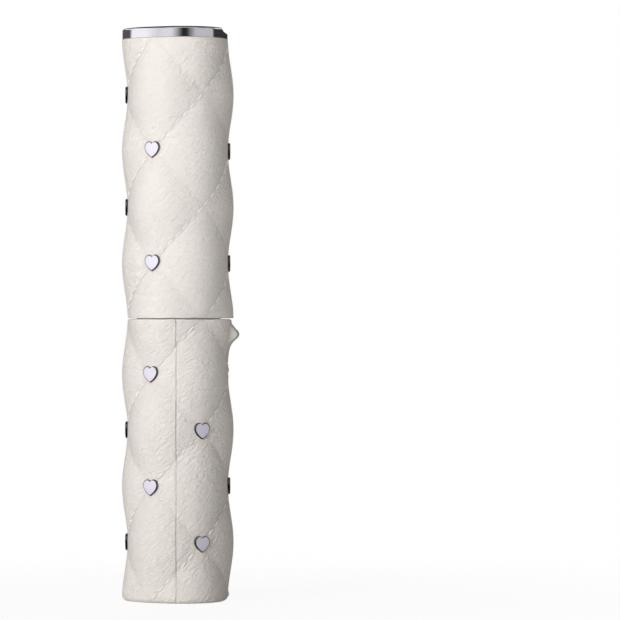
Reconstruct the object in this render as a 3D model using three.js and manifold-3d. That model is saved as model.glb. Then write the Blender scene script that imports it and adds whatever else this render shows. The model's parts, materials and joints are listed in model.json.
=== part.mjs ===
// Cordless hair straightening comb with a quilted handle and a pull-off quilted cap.
// Millimetres, +Z up. The handle stands on z = 0 with its axis on the Z axis.
// A latch window of the collar faces -Y, and the thumb slide is on +X.

import * as THREE from 'three';
import { mergeVertices } from 'three/addons/utils/BufferGeometryUtils.js';
import Module from 'manifold-3d';

const wasm = await Module();
wasm.setup();

// Clearances
const gap = 0.3;
const jointGap = 0.5;

// Handle and cap
const handleLength = 93.6;
const capLength = 95.9;
const collarRadius = 14.5;
const creaseWall = 1.9;
const pillowRise = 1.85;
const diamondHeight = 37.3;
const diamondsAround = 3;
const firstStudRow = 19.45;
const capTurn = 2.2; // the cap's pattern stands a little turned and a little low against the handle's
const capDrop = 0.6;
const footRound = 1.6;
const handleRimRound = 0.9;
const capRimRound = 0.4;
const seamWidth = 0.3;

// Chrome end of the cap
const coverHeight = 3.6;
const coverBevel = 0.5;
const coverInset = 0.2;
const plugThickness = 1.5;
const plugBossRadius = 4;
const plugBossHeight = 1.65;
const notchDepth = 1.8;
const notchHalfWidth = 9;
const notchFloorDrop = 1.4;

// Base plate and charging port
const baseThickness = 2.4;
const lipHeight = 1;
const lipWidth = 0.9;
const portWidth = 8.94;
const portHeight = 3.2;
const portDepth = 7.3;
const portRim = 0.4;
const portShell = 0.32;
const portBackWall = 1;
const portTongueDrop = 1;

// Cell, tray and circuit board
const cellRadius = 9.1;
const cellLength = 65;
const tabThickness = 0.4;
const tabWidth = 6;
const tabLength = 12.7;
const wrapRound = 0.6;
const trayPlate = 2;
const railWidth = 2.8;
const boardOffset = 7.5;
const boardThickness = 1.2;
const boardWidth = 21.6;
const screwRadius = 0.8;
const screwHeadRadius = 1.6;
const screwHeadHeight = 0.9;
const boardScrewLength = 3.6;
const boardScrewEndDistance = 7;
const blindWall = 0.4;

// Collar
const collarHeight = 7.4;
const collarDepth = 5.6;
const collarWall = 1.9;
const collarTop = 1.6;
const ribHeight = 0.25;
const ribHalfAngle = 3.5;
const ribBesideWindow = 9;
const ribOnPanel = 54;
const keyFlatDepth = 1.2;
const flangeWidth = 0.9;
const flangeThickness = 1;
const flangeDrop = 1.9;
const windowWidth = 2.9;
const windowHeight = 4.3;
const windowSill = 0.9;

// Latch spring
const springThickness = 0.3;
const springReturn = 1.3;
const springLeg = 1.6;
const springFillet = 0.4;
const springSpaceDepth = 2.2;
const grooveDepth = 0.4;

// Thumb slide and its switch
const slideTravel = 1.9;
const slideTopDrop = 0.2;
const slideLength = 14.4;
const slideWidth = 9.2;
const slideNeckRise = 0.8;
const slideNoseRise = 3.8;
const slideNoseDrop = 4.65;
const slideCrownRadius = 13;
const slideTailRun = 4.3;
const slideNoseHalf = 1.5;
const slideNoseRound = 0.95;
const slideShoulder = 1.5;
const slideEdgeRound = 0.4;
const skirtThickness = 0.7;
const skirtOverlap = 1.7;
const skirtTail = 3.2;
const skirtHeight = 12.2;
const leverDrop = 12.4;
const leverWidth = 1.8;
const leverHeight = 2;
const leverBite = 0.8;
const switchDepth = 3.4;
const switchWidth = 5.2;
const switchEnd = 2.6;

// Comb foot
const pedestalHeight = 1.5;
const footFlange = 2.5;
const footSkirt = 3;
const footScrewX = -0.5;
const footScrewOffset = 8.6;
const footCorner = 1.2;
const passageDepth = 2.4;
const passageWidth = 5.6;
const passageInset = 0.2;
const tenonDepth = 4;
const tenonWidth = 6.2;
const tenonThickness = 2.6;
const tenonInset = 0.6;

// Comb
const finCount = 29;
const finThickness = 1.75;
const finSwellReach = 4.9;
const finTipThickness = 1.05;
const finEdge = 1.25;
const spikeTipThickness = 0.7;
const finHalfDepth = 6.25;
const armThickness = 1.75;
const armTaper = 0.4;
const armTaperLength = 2;
const spineFront = 1.5;
const spineWidth = 9.85;
const spineHalfDepth = 5.7;
const spineBackWall = 3.75;
const spineSideWall = 1.4;
const spineRound = 2.8;
const spineLip = 0.7;
const spineLipLength = 2.1;
const spikeClearance = 1.2;
const toothClearance = 1.6;
const firstFinGap = 0.84;
const lastFinGap = 2.33;
const headHeight = 4.5;
const headFront = 2.7;
const combTopGap = 0.5;
const guardRoot = 3.95;
const guardTip = 2.1;
const guardReach = 0.35;
const guardDrop = 2.7;
const guardTipLength = 1.4;
const guardInset = 0.5;
const guardEdge = 0.8;
const headCorner = 1.1;
const headRound = 0.5;
const spigotLength = 2.6;
const spigotInset = 0.9;

// Heated row
const heatToothShortfall = 2.65;
const heatToothThickness = 1.75;
const heatToothDrop = 0.17;
const heatRootThickness = 3.2;
const heatTipSlopeBelow = 0.9;
const heatTipSlopeAbove = 2.8;
const heaterThickness = 1.2;
const heaterEndGap = 5;
const clipThickness = 0.4;
const clipEndGap = 2;
const sensorLength = 2.6;
const leadRadius = 0.55;
const leadSpacing = 2.8;
const leadRise = 1.5;

// Heart studs
const heartWidth = 5.65;
const heartHeight = 5.6;
const heartThickness = 0.55;
const heartBevel = 0.2;

// Worked out from the sizes above
const boreRadius = collarRadius + gap;
const creaseRadius = boreRadius + creaseWall;
const bulgeRadius = creaseRadius + pillowRise;
const capBottom = handleLength + jointGap;
const capTop = capBottom + capLength;
const coverBottom = capTop - coverHeight + gap;
const sleeveTop = capTop - coverHeight;
const plugBottom = sleeveTop - plugThickness;
const collarTopHeight = handleLength + collarHeight;
const collarBottom = handleLength - collarDepth;
const collarBore = collarRadius - collarWall;
const keyFlat = collarRadius - keyFlatDepth;
const combTop = plugBottom - combTopGap;
const headBottom = combTop - headHeight;
const pedestalTop = collarTopHeight + pedestalHeight;
const firstFin = pedestalTop + firstFinGap;
const finPitch = (headBottom - lastFinGap - firstFin) / (finCount - 1);
const spikeReach = boreRadius - spikeClearance;
const toothReach = Math.sqrt((boreRadius - toothClearance) ** 2 - finHalfDepth ** 2);
const spineBack = spineFront + spineWidth;
const channelBack = spineBack - spineBackWall;
const channelHalf = spineHalfDepth - spineSideWall;
const boardTop = collarBottom - 1;
const boardBottom = baseThickness + trayPlate;
const boardFront = boardOffset + boardThickness;
const slideTop = handleLength - slideTopDrop;
const slideBottom = slideTop - slideLength;
const leverMiddle = slideTop - leverDrop;
const crownAxis = creaseRadius + slideNeckRise - slideCrownRadius;

// Facets, and how far cutting solids reach
const fineSides = 30;
const crownSides = 48;
const coarseSides = 20;
const smallSides = 8;
const columns = 30;
const rowsPerDiamond = 10;
const overcut = 1;
const farOut = 60;
const farUp = 240;

// Materials
const ivory = { color: 0xe9e4da, roughness: 0.62, metalness: 0 };
const smoothIvory = { color: 0xe6e0d2, roughness: 0.42, metalness: 0 };
const chrome = { color: 0xd9dadf, roughness: 0.12, metalness: 1 };
const blackResin = { color: 0x131315, roughness: 0.45, metalness: 0 };
const heatCoat = { color: 0x1a1a1c, roughness: 0.35, metalness: 0.3 };
const brass = { color: 0xb99a4a, roughness: 0.3, metalness: 1 };
const nickel = { color: 0xb8b8b4, roughness: 0.35, metalness: 1 };
const boardGreen = { color: 0x1f5a3a, roughness: 0.5, metalness: 0 };
const cellWrap = { color: 0x2f6fae, roughness: 0.4, metalness: 0 };
const trayResin = { color: 0x55565a, roughness: 0.6, metalness: 0 };
const ceramic = { color: 0xe8e6e0, roughness: 0.7, metalness: 0 };
const redWire = { color: 0xa8262a, roughness: 0.5, metalness: 0 };
const darkWire = { color: 0x202024, roughness: 0.5, metalness: 0 };

const group = new THREE.Group();

function addMesh(name, geometry, finish) {
  const mesh = new THREE.Mesh(geometry, new THREE.MeshStandardMaterial(finish));
  mesh.name = name;
  group.add(mesh);
  return mesh;
}

// Turns a closed three.js geometry into a solid for joins and cuts.
function solid(geometry) {
  geometry.deleteAttribute('normal');
  geometry.deleteAttribute('uv');
  const merged = mergeVertices(geometry, 1e-4);
  const corners = merged.index.array;
  const faces = [];
  for (let i = 0; i < corners.length; i += 3) {
    const [a, b, c] = [corners[i], corners[i + 1], corners[i + 2]];
    if (a !== b && b !== c && c !== a) {
      faces.push(a, b, c);
    }
  }
  return new wasm.Manifold(new wasm.Mesh({
    numProp: 3,
    vertProperties: new Float32Array(merged.attributes.position.array),
    triVerts: new Uint32Array(faces),
  }));
}

function geometryOf(body) {
  const mesh = body.getMesh();
  const geometry = new THREE.BufferGeometry();
  geometry.setAttribute('position', new THREE.BufferAttribute(mesh.vertProperties, 3));
  geometry.setIndex(new THREE.BufferAttribute(mesh.triVerts, 1));
  geometry.computeVertexNormals();
  return geometry;
}

function addSolid(name, body, finish) {
  return addMesh(name, geometryOf(body), finish);
}

function block(x0, x1, y0, y1, z0, z1) {
  const geometry = new THREE.BoxGeometry(x1 - x0, y1 - y0, z1 - z0);
  geometry.translate((x0 + x1) / 2, (y0 + y1) / 2, (z0 + z1) / 2);
  return solid(geometry);
}

// A profile of [radius, height] points, turned about the Z axis.
function turned(profile, sides) {
  const points = profile.map(([radius, height]) => new THREE.Vector2(radius, height));
  const geometry = new THREE.LatheGeometry(points, sides);
  geometry.rotateX(Math.PI / 2);
  return solid(geometry);
}

function rod(radius, low, high, sides = coarseSides) {
  return turned([[0, low], [radius, low], [radius, high], [0, high]], sides);
}

function ring(inner, outer, low, high, sides = fineSides) {
  return turned([[inner, low], [outer, low], [outer, high], [inner, high], [inner, low]], sides);
}

// An outline in the XY plane, raised from low to high.
function raised(shape, low, high, curveSegments = 6) {
  const geometry = new THREE.ExtrudeGeometry(shape, { depth: high - low, bevelEnabled: false, curveSegments });
  geometry.translate(0, 0, low);
  return solid(geometry);
}

// An outline in the XZ plane, drawn out along Y to both sides of the middle.
function drawnAcross(shape, halfWidth, curveSegments = 6) {
  const geometry = new THREE.ExtrudeGeometry(shape, { depth: 2 * halfWidth, bevelEnabled: false, curveSegments });
  geometry.rotateX(Math.PI / 2);
  geometry.translate(0, halfWidth, 0);
  return solid(geometry);
}

// An outline that is the same on both sides of Y = 0. The path gives its -Y half.
function mirroredOutline(path, divisions) {
  const half = path.getPoints(divisions);
  const other = half.map((point) => new THREE.Vector2(point.x, -point.y)).reverse();
  return new THREE.Shape([...half, ...other]);
}

function roundedRectangle(centreX, width, height, radius) {
  const shape = new THREE.Shape();
  const [x, y] = [width / 2, height / 2];
  shape.absarc(centreX + x - radius, y - radius, radius, 0, Math.PI / 2);
  shape.absarc(centreX - x + radius, y - radius, radius, Math.PI / 2, Math.PI);
  shape.absarc(centreX - x + radius, radius - y, radius, Math.PI, 1.5 * Math.PI);
  shape.absarc(centreX + x - radius, radius - y, radius, 1.5 * Math.PI, 2 * Math.PI);
  return shape;
}

// Quilting: two families of slanted stitch lines run round the body. Between them the
// surface swells into diamonds, and a stud sits where two lines cross.
const quiltOrigin = firstStudRow - diamondHeight / 2;
const columnAngles = [-90, -30, 30, 90, 150, 210];

function quiltRadius(angle, height) {
  const across = (angle + 30) * diamondsAround / 360;
  const up = (height - quiltOrigin) / diamondHeight;
  const swell = Math.sin(Math.PI * (across + up)) * Math.sin(Math.PI * (across - up));
  return creaseRadius + pillowRise * Math.abs(swell);
}

function onCircle(radius, angle, height) {
  const turn = THREE.MathUtils.degToRad(angle);
  return new THREE.Vector3(radius * Math.sin(turn), -radius * Math.cos(turn), height);
}

function edgeInset(distance, round) {
  const depth = Math.max(0, round - distance);
  return round - Math.sqrt(round ** 2 - depth ** 2);
}

function quiltRows(low, high, lowRound, highRound) {
  const step = diamondHeight / rowsPerDiamond;
  const rows = [low, low + lowRound / 3, low + lowRound];
  const first = Math.ceil((low + lowRound + step / 2 - quiltOrigin) / step);
  for (let k = first; quiltOrigin + k * step < high - highRound - step / 2; k += 1) {
    rows.push(quiltOrigin + k * step);
  }
  rows.push(high - highRound, high - highRound / 3, high);
  return rows;
}

// The full quilted body between two heights, with rounded rims and closed ends.
function quiltedBody(low, high, lowRound, highRound) {
  const surface = (angle, height) => quiltRadius(angle, height)
    - edgeInset(height - low, lowRound) - edgeInset(high - height, highRound);
  const rows = quiltRows(low, high, lowRound, highRound);
  const angles = Array.from({ length: columns + 1 }, (unused, i) => columnAngles[0] + i * 360 / columns);
  const positions = [];
  for (const height of rows) {
    for (let i = 0; i < columns; i += 1) {
      positions.push(...onCircle(surface(angles[i], height), angles[i], height));
    }
  }
  const bottomCentre = positions.length / 3;
  positions.push(0, 0, low, 0, 0, high);
  const faces = [];
  for (let i = 0; i < columns; i += 1) {
    const next = (i + 1) % columns;
    faces.push(bottomCentre, next, i);
    const top = (rows.length - 1) * columns;
    faces.push(bottomCentre + 1, top + i, top + next);
    for (let j = 0; j < rows.length - 1; j += 1) {
      const [a, b] = [j * columns + i, j * columns + next];
      const [c, d] = [b + columns, a + columns];
      const radii = [
        surface(angles[i], rows[j]), surface(angles[i + 1], rows[j]),
        surface(angles[i + 1], rows[j + 1]), surface(angles[i], rows[j + 1]),
      ];
      const middle = surface((angles[i] + angles[i + 1]) / 2, (rows[j] + rows[j + 1]) / 2);
      const rising = Math.abs((radii[0] + radii[2]) / 2 - middle);
      const falling = Math.abs((radii[1] + radii[3]) / 2 - middle);
      if (rising < falling) {
        faces.push(a, b, c, a, c, d);
      } else {
        faces.push(a, b, d, b, c, d);
      }
    }
  }
  const geometry = new THREE.BufferGeometry();
  geometry.setAttribute('position', new THREE.Float32BufferAttribute(positions, 3));
  geometry.setIndex(faces);
  return solid(geometry);
}

// Handle shells, split at the front and back seam.
function slideSlot() {
  const mouth = block(0, farOut, -slideWidth / 2 - gap, slideWidth / 2 + gap, slideBottom - gap, farUp);
  const skirtSpace = ring(collarRadius, boreRadius + skirtThickness + gap,
    slideBottom - skirtTail - gap, slideBottom - skirtTail + skirtHeight + slideTravel + gap);
  const halfWidth = slideWidth / 2 + skirtOverlap + gap;
  return mouth.add(skirtSpace.intersect(block(0, farOut, -halfWidth, halfWidth, 0, farUp)));
}

function handleShells() {
  const flangeTop = handleLength - flangeDrop + gap;
  const flangeBottom = flangeTop - flangeThickness - 2 * gap;
  const hollow = turned([
    [0, -overcut], [boreRadius - lipWidth, -overcut], [boreRadius - lipWidth, lipHeight],
    [boreRadius, lipHeight], [boreRadius, flangeBottom], [boreRadius + flangeWidth + gap, flangeBottom],
    [boreRadius + flangeWidth + gap, flangeTop], [boreRadius, flangeTop],
    [boreRadius, handleLength + overcut], [0, handleLength + overcut],
  ], fineSides);
  const shell = quiltedBody(0, handleLength, footRound, handleRimRound).subtract(hollow);
  const rightSide = block(seamWidth / 2, farOut, -farOut, farOut, -overcut, farUp);
  const leftSide = block(-farOut, -seamWidth / 2, -farOut, farOut, -overcut, farUp);
  addSolid('handle_shell_right', shell.intersect(rightSide).subtract(slideSlot()), ivory);
  addSolid('handle_shell_left', shell.intersect(leftSide), ivory);
}

// Base plate with the mouth of the charging port.
const portCentre = boardFront + gap + portHeight / 2;
const portCorner = 0.47 * portHeight;

function basePlate() {
  const step = lipHeight + gap;
  const plate = turned([
    [0, 0], [boreRadius - lipWidth - gap, 0], [boreRadius - lipWidth - gap, step],
    [boreRadius - gap, step], [boreRadius - gap, baseThickness], [0, baseThickness],
  ], fineSides);
  const mouth = roundedRectangle(portCentre, portHeight + 2 * gap, portWidth + 2 * gap, portCorner);
  addSolid('handle_base_plate', plate.subtract(raised(mouth, -overcut, farUp, 3)), smoothIvory);
}

function chargePort() {
  const top = portRim + portDepth;
  const body = raised(roundedRectangle(portCentre, portHeight, portWidth, portCorner), portRim, top, 3);
  const inner = roundedRectangle(portCentre, portHeight - 2 * portShell, portWidth - 2 * portShell,
    portCorner - portShell);
  const mouth = raised(inner, portRim - overcut, top - portBackWall, 3);
  const tongue = block(portCentre - portShell, portCentre + portShell, -portWidth / 3, portWidth / 3,
    portRim + portTongueDrop, top - portShell);
  addSolid('charge_port', body.subtract(mouth).add(tongue), nickel);
}

// Cell and its tabs, standing in the tray.
const trayBottom = baseThickness + gap;
const lowTab = trayBottom + trayPlate + gap;
const cellBottom = lowTab + tabThickness + gap;
const highTab = cellBottom + cellLength + gap;
const trayTopPlate = highTab + tabThickness + gap;
const trayFace = boardOffset - gap;
const cellCentre = trayFace - gap - cellRadius;

function cell() {
  const body = turned([
    [0, cellBottom], [cellRadius - wrapRound, cellBottom], [cellRadius, cellBottom + wrapRound],
    [cellRadius, cellBottom + cellLength - wrapRound], [cellRadius - wrapRound, cellBottom + cellLength],
    [0, cellBottom + cellLength],
  ], coarseSides);
  addSolid('battery_cell', body.translate([cellCentre, 0, 0]), cellWrap);
  for (const [name, height] of [['battery_tab_bottom', lowTab], ['battery_tab_top', highTab]]) {
    const strip = roundedRectangle(cellCentre, tabLength, tabWidth, tabWidth / 3);
    addSolid(name, raised(strip, height, height + tabThickness, 2), nickel);
  }
}

// Tray: three plates with the cell between them, on two rails that carry the board.
function tray() {
  const outline = rod(boreRadius - gap, trayBottom, boardTop, fineSides)
    .intersect(block(-farOut, trayFace, -farOut, farOut, 0, farUp));
  const plates = [trayBottom, (trayBottom + trayTopPlate) / 2, trayTopPlate]
    .map((low) => outline.intersect(block(-farOut, farOut, -farOut, farOut, low, low + trayPlate)));
  const seat = rod(cellRadius + gap, cellBottom - gap, cellBottom + cellLength + gap, coarseSides)
    .translate([cellCentre, 0, 0]);
  const railInner = boardWidth / 2 - railWidth;
  const rails = [-1, 1].map((side) => block(trayFace - railWidth, trayFace,
    Math.min(side * railInner, side * boardWidth / 2), Math.max(side * railInner, side * boardWidth / 2),
    trayBottom, boardTop));
  let body = plates[0].add(plates[1]).add(plates[2]).add(rails[0]).add(rails[1]).subtract(seat);
  for (const [y, z] of boardScrews()) {
    const hole = rod(screwRadius + gap, trayFace - railWidth + blindWall, farOut, smallSides);
    body = body.subtract(alongX(hole, y, z));
  }
  addSolid('battery_tray', body, trayResin);
}

// Lays a solid turned about Z along the X axis, at the given place.
function alongX(body, y, z) {
  return body.rotate([0, 90, 0]).translate([0, y, z]);
}

function boardScrews() {
  const y = boardWidth / 2 - railWidth / 2;
  return [[y, boardTop - boardScrewEndDistance], [-y, boardBottom + boardScrewEndDistance]];
}

function circuitBoard() {
  let body = block(boardOffset, boardFront, -boardWidth / 2, boardWidth / 2, boardBottom, boardTop);
  const names = ['board_screw_upper', 'board_screw_lower'];
  boardScrews().forEach(([y, z], i) => {
    const hole = rod(screwRadius + gap, 0, farOut, smallSides);
    body = body.subtract(alongX(hole, y, z));
    const head = boardFront + gap;
    const tip = head - boardScrewLength;
    const screw = turned([
      [0, tip], [screwRadius, tip], [screwRadius, head], [screwHeadRadius, head],
      [screwHeadRadius, head + screwHeadHeight], [0, head + screwHeadHeight],
    ], smallSides);
    addSolid(names[i], alongX(screw, y, z), nickel);
  });
  addSolid('circuit_board', body, boardGreen);
}

// Slide switch on the board, its lever, and the thumb slide that carries the lever.
const switchFront = boardFront + gap + switchDepth;
const leverTip = boreRadius + leverBite;

function slideSwitch() {
  const trackFloor = boardFront + gap + switchDepth / 3;
  const low = leverMiddle - leverHeight / 2;
  const high = leverMiddle + leverHeight / 2;
  const body = block(boardFront + gap, switchFront, -switchWidth / 2, switchWidth / 2,
    low - switchEnd, high + slideTravel + switchEnd);
  const track = block(trackFloor, farOut, -leverWidth / 2 - gap, leverWidth / 2 + gap,
    low - gap, high + slideTravel + gap);
  addSolid('slide_switch', body.subtract(track), trayResin);
  const lever = block(trackFloor + gap, leverTip, -leverWidth / 2, leverWidth / 2, low, high);
  addSolid('switch_lever', lever, blackResin);
}

// Side view of the slide: a neck at the rim, a nose for the thumb, and a tail that
// runs out flush with the quilted surface.
function slideProfile() {
  const neck = creaseRadius + slideNeckRise;
  const nose = creaseRadius + slideNoseRise;
  const neckBottom = slideTop - slideTravel + jointGap;
  const noseHeight = slideTop - slideNoseDrop;
  const noseSide = nose - slideNoseRound;
  const tail = quiltRadius(90, slideBottom);
  const profile = new THREE.Shape();
  profile.moveTo(collarBore, slideBottom);
  profile.lineTo(tail, slideBottom);
  profile.bezierCurveTo(tail, slideBottom + slideTailRun, tail, noseHeight - slideTailRun,
    noseSide, noseHeight - slideNoseHalf);
  profile.quadraticCurveTo(nose, noseHeight - slideNoseHalf / 2, nose, noseHeight);
  profile.quadraticCurveTo(nose, noseHeight + slideNoseHalf / 2, noseSide, noseHeight + slideNoseHalf);
  profile.quadraticCurveTo(neck + slideShoulder, neckBottom - slideNoseHalf / 2, neck, neckBottom);
  profile.lineTo(neck, slideTop - slideEdgeRound);
  profile.lineTo(neck - slideEdgeRound, slideTop);
  profile.lineTo(collarBore, slideTop);
  return profile;
}

function thumbSlide() {
  const outline = slideProfile().getPoints(3).map((point) => [point.x - crownAxis, point.y]);
  const crowned = turned([[0, slideBottom], ...outline, [0, slideTop]], crownSides)
    .translate([crownAxis, 0, 0]);
  const inside = rod(boreRadius, 0, farUp, fineSides);
  const body = crowned.intersect(block(cellRadius, farOut, -slideWidth / 2, slideWidth / 2, 0, farUp));
  const skirtBottom = slideBottom - skirtTail;
  const skirtHalf = slideWidth / 2 + skirtOverlap;
  const skirt = rod(boreRadius + skirtThickness, skirtBottom, skirtBottom + skirtHeight, fineSides)
    .intersect(block(cellRadius, farOut, -skirtHalf, skirtHalf, 0, farUp));
  const leverSeat = block(0, leverTip + gap, -leverWidth / 2 - gap, leverWidth / 2 + gap,
    leverMiddle - leverHeight / 2 - gap, leverMiddle + leverHeight / 2 + gap);
  addSolid('thumb_slide', body.add(skirt).subtract(inside).subtract(leverSeat), smoothIvory);
}

// Collar: ribs stand on its neck beside each window and on the panels between them.
const ribsPerWindow = [ribBesideWindow, ribOnPanel, 180 - ribOnPanel, 180 - ribBesideWindow];
const ribMiddles = [0, 180].flatMap((window) => ribsPerWindow.map((turn) => window + turn));

function neckOutline() {
  const shape = new THREE.Shape();
  const direction = (angle) => THREE.MathUtils.degToRad(angle - 90);
  ribMiddles.forEach((middle, i) => {
    const nextMiddle = i + 1 < ribMiddles.length ? ribMiddles[i + 1] : ribMiddles[0] + 360;
    const [start, end] = [middle - ribHalfAngle, middle + ribHalfAngle];
    shape.absarc(0, 0, collarRadius, direction(start), direction(end));
    shape.absarc(0, 0, collarRadius - ribHeight, direction(end), direction(nextMiddle - ribHalfAngle));
  });
  return shape;
}

const windowBottom = handleLength + windowSill;
const windowTop = windowBottom + windowHeight;
const stemFront = -spineFront;

function collar() {
  const neck = raised(neckOutline(), handleLength, collarTopHeight, 2);
  const flangeTop = handleLength - flangeDrop;
  const sleeve = turned([
    [0, collarBottom], [collarRadius, collarBottom], [collarRadius, flangeTop - flangeThickness],
    [boreRadius + flangeWidth, flangeTop - flangeThickness], [boreRadius + flangeWidth, flangeTop],
    [collarRadius, flangeTop], [collarRadius, handleLength], [0, handleLength],
  ], fineSides);
  const slideHalf = slideWidth / 2 + 2 * gap;
  const slideSpace = ring(collarRadius, bulgeRadius, collarBottom - overcut, handleLength + overcut)
    .intersect(block(0, farOut, -slideHalf, slideHalf, 0, farUp));
  const hollow = rod(collarBore, collarBottom - overcut, collarTopHeight - collarTop, fineSides);
  const stemHole = block(stemFront - gap, spineBack + gap, -spineHalfDepth - gap, spineHalfDepth + gap,
    collarBottom, farUp);
  const key = block(-farOut, -keyFlat, -farOut, farOut, handleLength, farUp);
  const windows = block(-windowWidth / 2, windowWidth / 2, -farOut, farOut, windowBottom, windowTop);
  let body = sleeve.add(neck).subtract(slideSpace).subtract(hollow).subtract(stemHole).subtract(key)
    .subtract(windows);
  for (const side of [-1, 1]) {
    const hole = rod(screwRadius + gap, collarBottom, collarTopHeight - gap, smallSides);
    body = body.subtract(hole.translate([footScrewX, side * footScrewOffset, 0]));
  }
  addSolid('collar', body, smoothIvory);
}

// Latch spring: a brass strip whose crest looks out of the window.
function springPath() {
  const crest = collarRadius;
  const seat = collarBore - gap;
  const ledge = crest - springReturn;
  const middle = (windowBottom + windowTop) / 2;
  const half = windowHeight / 2 - gap;
  return [
    [seat, windowBottom - springLeg], [seat, middle - half], [ledge, middle - half + springFillet],
    [ledge, middle - half * 0.5], [crest, middle - half * 0.2], [crest, middle + half * 0.2],
    [ledge, middle + half * 0.5], [ledge, middle + half - springFillet], [seat, middle + half],
    [seat, collarTopHeight - collarTop - gap],
  ];
}

function latchSprings() {
  const path = springPath();
  const outer = path.map(([radius, height]) => new THREE.Vector2(radius, height));
  const inner = path.map(([radius, height]) => new THREE.Vector2(radius - springThickness, height));
  const shape = new THREE.Shape([...outer, ...inner.reverse()]);
  for (const [name, turn] of [['latch_spring_front', -90], ['latch_spring_back', 90]]) {
    const strip = drawnAcross(shape, windowWidth / 2 - gap);
    addSolid(name, strip.rotate([0, 0, turn]), brass);
  }
}

// Foot of the comb: a flange under the collar's top and a pedestal through it.
const footTop = collarTopHeight - collarTop - gap;
const flangeLow = footTop - footFlange;
const passageBack = channelBack - passageInset;
const tenonFront = channelBack + tenonInset;

function stemOutline() {
  const path = new THREE.Path();
  path.moveTo(stemFront, -spineHalfDepth + footCorner);
  path.quadraticCurveTo(stemFront, -spineHalfDepth, stemFront + footCorner, -spineHalfDepth);
  path.lineTo(spineBack - spineRound, -spineHalfDepth);
  path.quadraticCurveTo(spineBack, -spineHalfDepth, spineBack, -spineHalfDepth + spineRound);
  return mirroredOutline(path, 3);
}

function footScrew(name, side) {
  const head = flangeLow - gap;
  const tip = collarTopHeight - 2 * gap;
  const screw = turned([
    [0, head - screwHeadHeight], [screwHeadRadius, head - screwHeadHeight], [screwHeadRadius, head],
    [screwRadius, head], [screwRadius, tip], [0, tip],
  ], smallSides);
  addSolid(name, screw.translate([footScrewX, side * footScrewOffset, 0]), nickel);
}

function combFoot() {
  const stem = raised(stemOutline(), flangeLow - footSkirt, pedestalTop);
  const flange = rod(collarBore - gap, flangeLow, footTop, fineSides);
  const passage = block(passageBack - passageDepth, passageBack, -passageWidth / 2, passageWidth / 2, 0, farUp);
  const tenonHalf = tenonWidth / 2 + gap;
  const socket = block(tenonFront - gap, tenonFront + tenonThickness + gap, -tenonHalf, tenonHalf,
    pedestalTop - tenonDepth - gap, farUp);
  let body = stem.add(flange).subtract(passage).subtract(socket);
  for (const side of [-1, 1]) {
    const springSpace = block(collarBore - springSpaceDepth, farOut, -windowWidth / 2, windowWidth / 2, 0, farUp);
    const screwHole = rod(screwRadius + gap, 0, farUp, smallSides);
    body = body.subtract(springSpace.rotate([0, 0, side * 90]));
    body = body.subtract(screwHole.translate([footScrewX, side * footScrewOffset, 0]));
  }
  footScrew('foot_screw_front', -1);
  footScrew('foot_screw_back', 1);
  addSolid('comb_foot', body, blackResin);
}

// Comb body: a U-shaped spine whose fins wrap round it. Each fin ends in two long
// teeth on one side and in one short spike on the other.
function spineOutline() {
  const path = new THREE.Path();
  path.moveTo(spineFront, -channelHalf);
  path.lineTo(spineFront, -spineHalfDepth + spineLip);
  path.lineTo(spineFront + spineLipLength, -spineHalfDepth);
  path.lineTo(spineBack - spineRound, -spineHalfDepth);
  path.lineTo(spineBack, -spineHalfDepth + spineRound);
  return mirroredOutline(path, 1);
}

// Side view of a fin: swollen along the teeth, thin on the spine, thinnest at the spike.
function finProfile(height) {
  const upper = [
    [-toothReach, finTipThickness / 2], [-finSwellReach, finThickness / 2],
    [spineFront, finEdge / 2], [spikeReach, spikeTipThickness / 2],
  ];
  const lower = upper.map(([x, half]) => new THREE.Vector2(x, height - half));
  return new THREE.Shape([...lower, ...upper.reverse().map(([x, half]) => new THREE.Vector2(x, height + half))]);
}

// The elliptical end that the fins and the head block share.
function endPath(path) {
  const endStart = spineBack - spineRound;
  path.lineTo(endStart, -finHalfDepth);
  path.absellipse(endStart, 0, spikeReach - endStart, finHalfDepth, -Math.PI / 2, 0);
  return mirroredOutline(path, 2);
}

// Top view of a fin: two arms, joined by the end.
function finPlan() {
  const armInner = finHalfDepth - armThickness;
  const path = new THREE.Path();
  path.moveTo(channelBack + spineLip, -armInner);
  path.lineTo(-toothReach, -armInner);
  path.lineTo(-toothReach, -finHalfDepth + armTaper);
  path.lineTo(-toothReach + armTaperLength, -finHalfDepth);
  return endPath(path);
}

function combBody() {
  const low = pedestalTop + gap;
  const channel = block(0, channelBack, -channelHalf, channelHalf, 0, farUp);
  const spine = raised(spineOutline(), low, headBottom - gap).subtract(channel);
  const plan = raised(finPlan(), low, headBottom);
  let fins = drawnAcross(finProfile(firstFin), farOut);
  for (let i = 1; i < finCount; i += 1) {
    fins = fins.add(drawnAcross(finProfile(firstFin + i * finPitch), farOut));
  }
  const tenon = block(tenonFront, tenonFront + tenonThickness, -tenonWidth / 2, tenonWidth / 2,
    pedestalTop - tenonDepth, low + overcut);
  addSolid('comb_body', spine.add(fins.intersect(plan)).add(tenon), blackResin);
}

// Head block and guard tooth, with a spigot down the spine's channel.
function guardOutline() {
  const middle = combTop - guardDrop;
  const tipX = -toothReach - guardReach;
  const [tip, root] = [guardTip / 2, guardRoot / 2];
  const shape = new THREE.Shape();
  shape.moveTo(headFront + headCorner, middle - root);
  shape.lineTo(headFront, middle - root);
  shape.lineTo(tipX + guardTipLength, middle - tip);
  shape.quadraticCurveTo(tipX, middle - tip, tipX, middle);
  shape.quadraticCurveTo(tipX, middle + tip, tipX + guardTipLength, middle + tip);
  shape.lineTo(headFront, middle + root);
  shape.lineTo(headFront + headCorner, middle + root);
  return shape;
}

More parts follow.
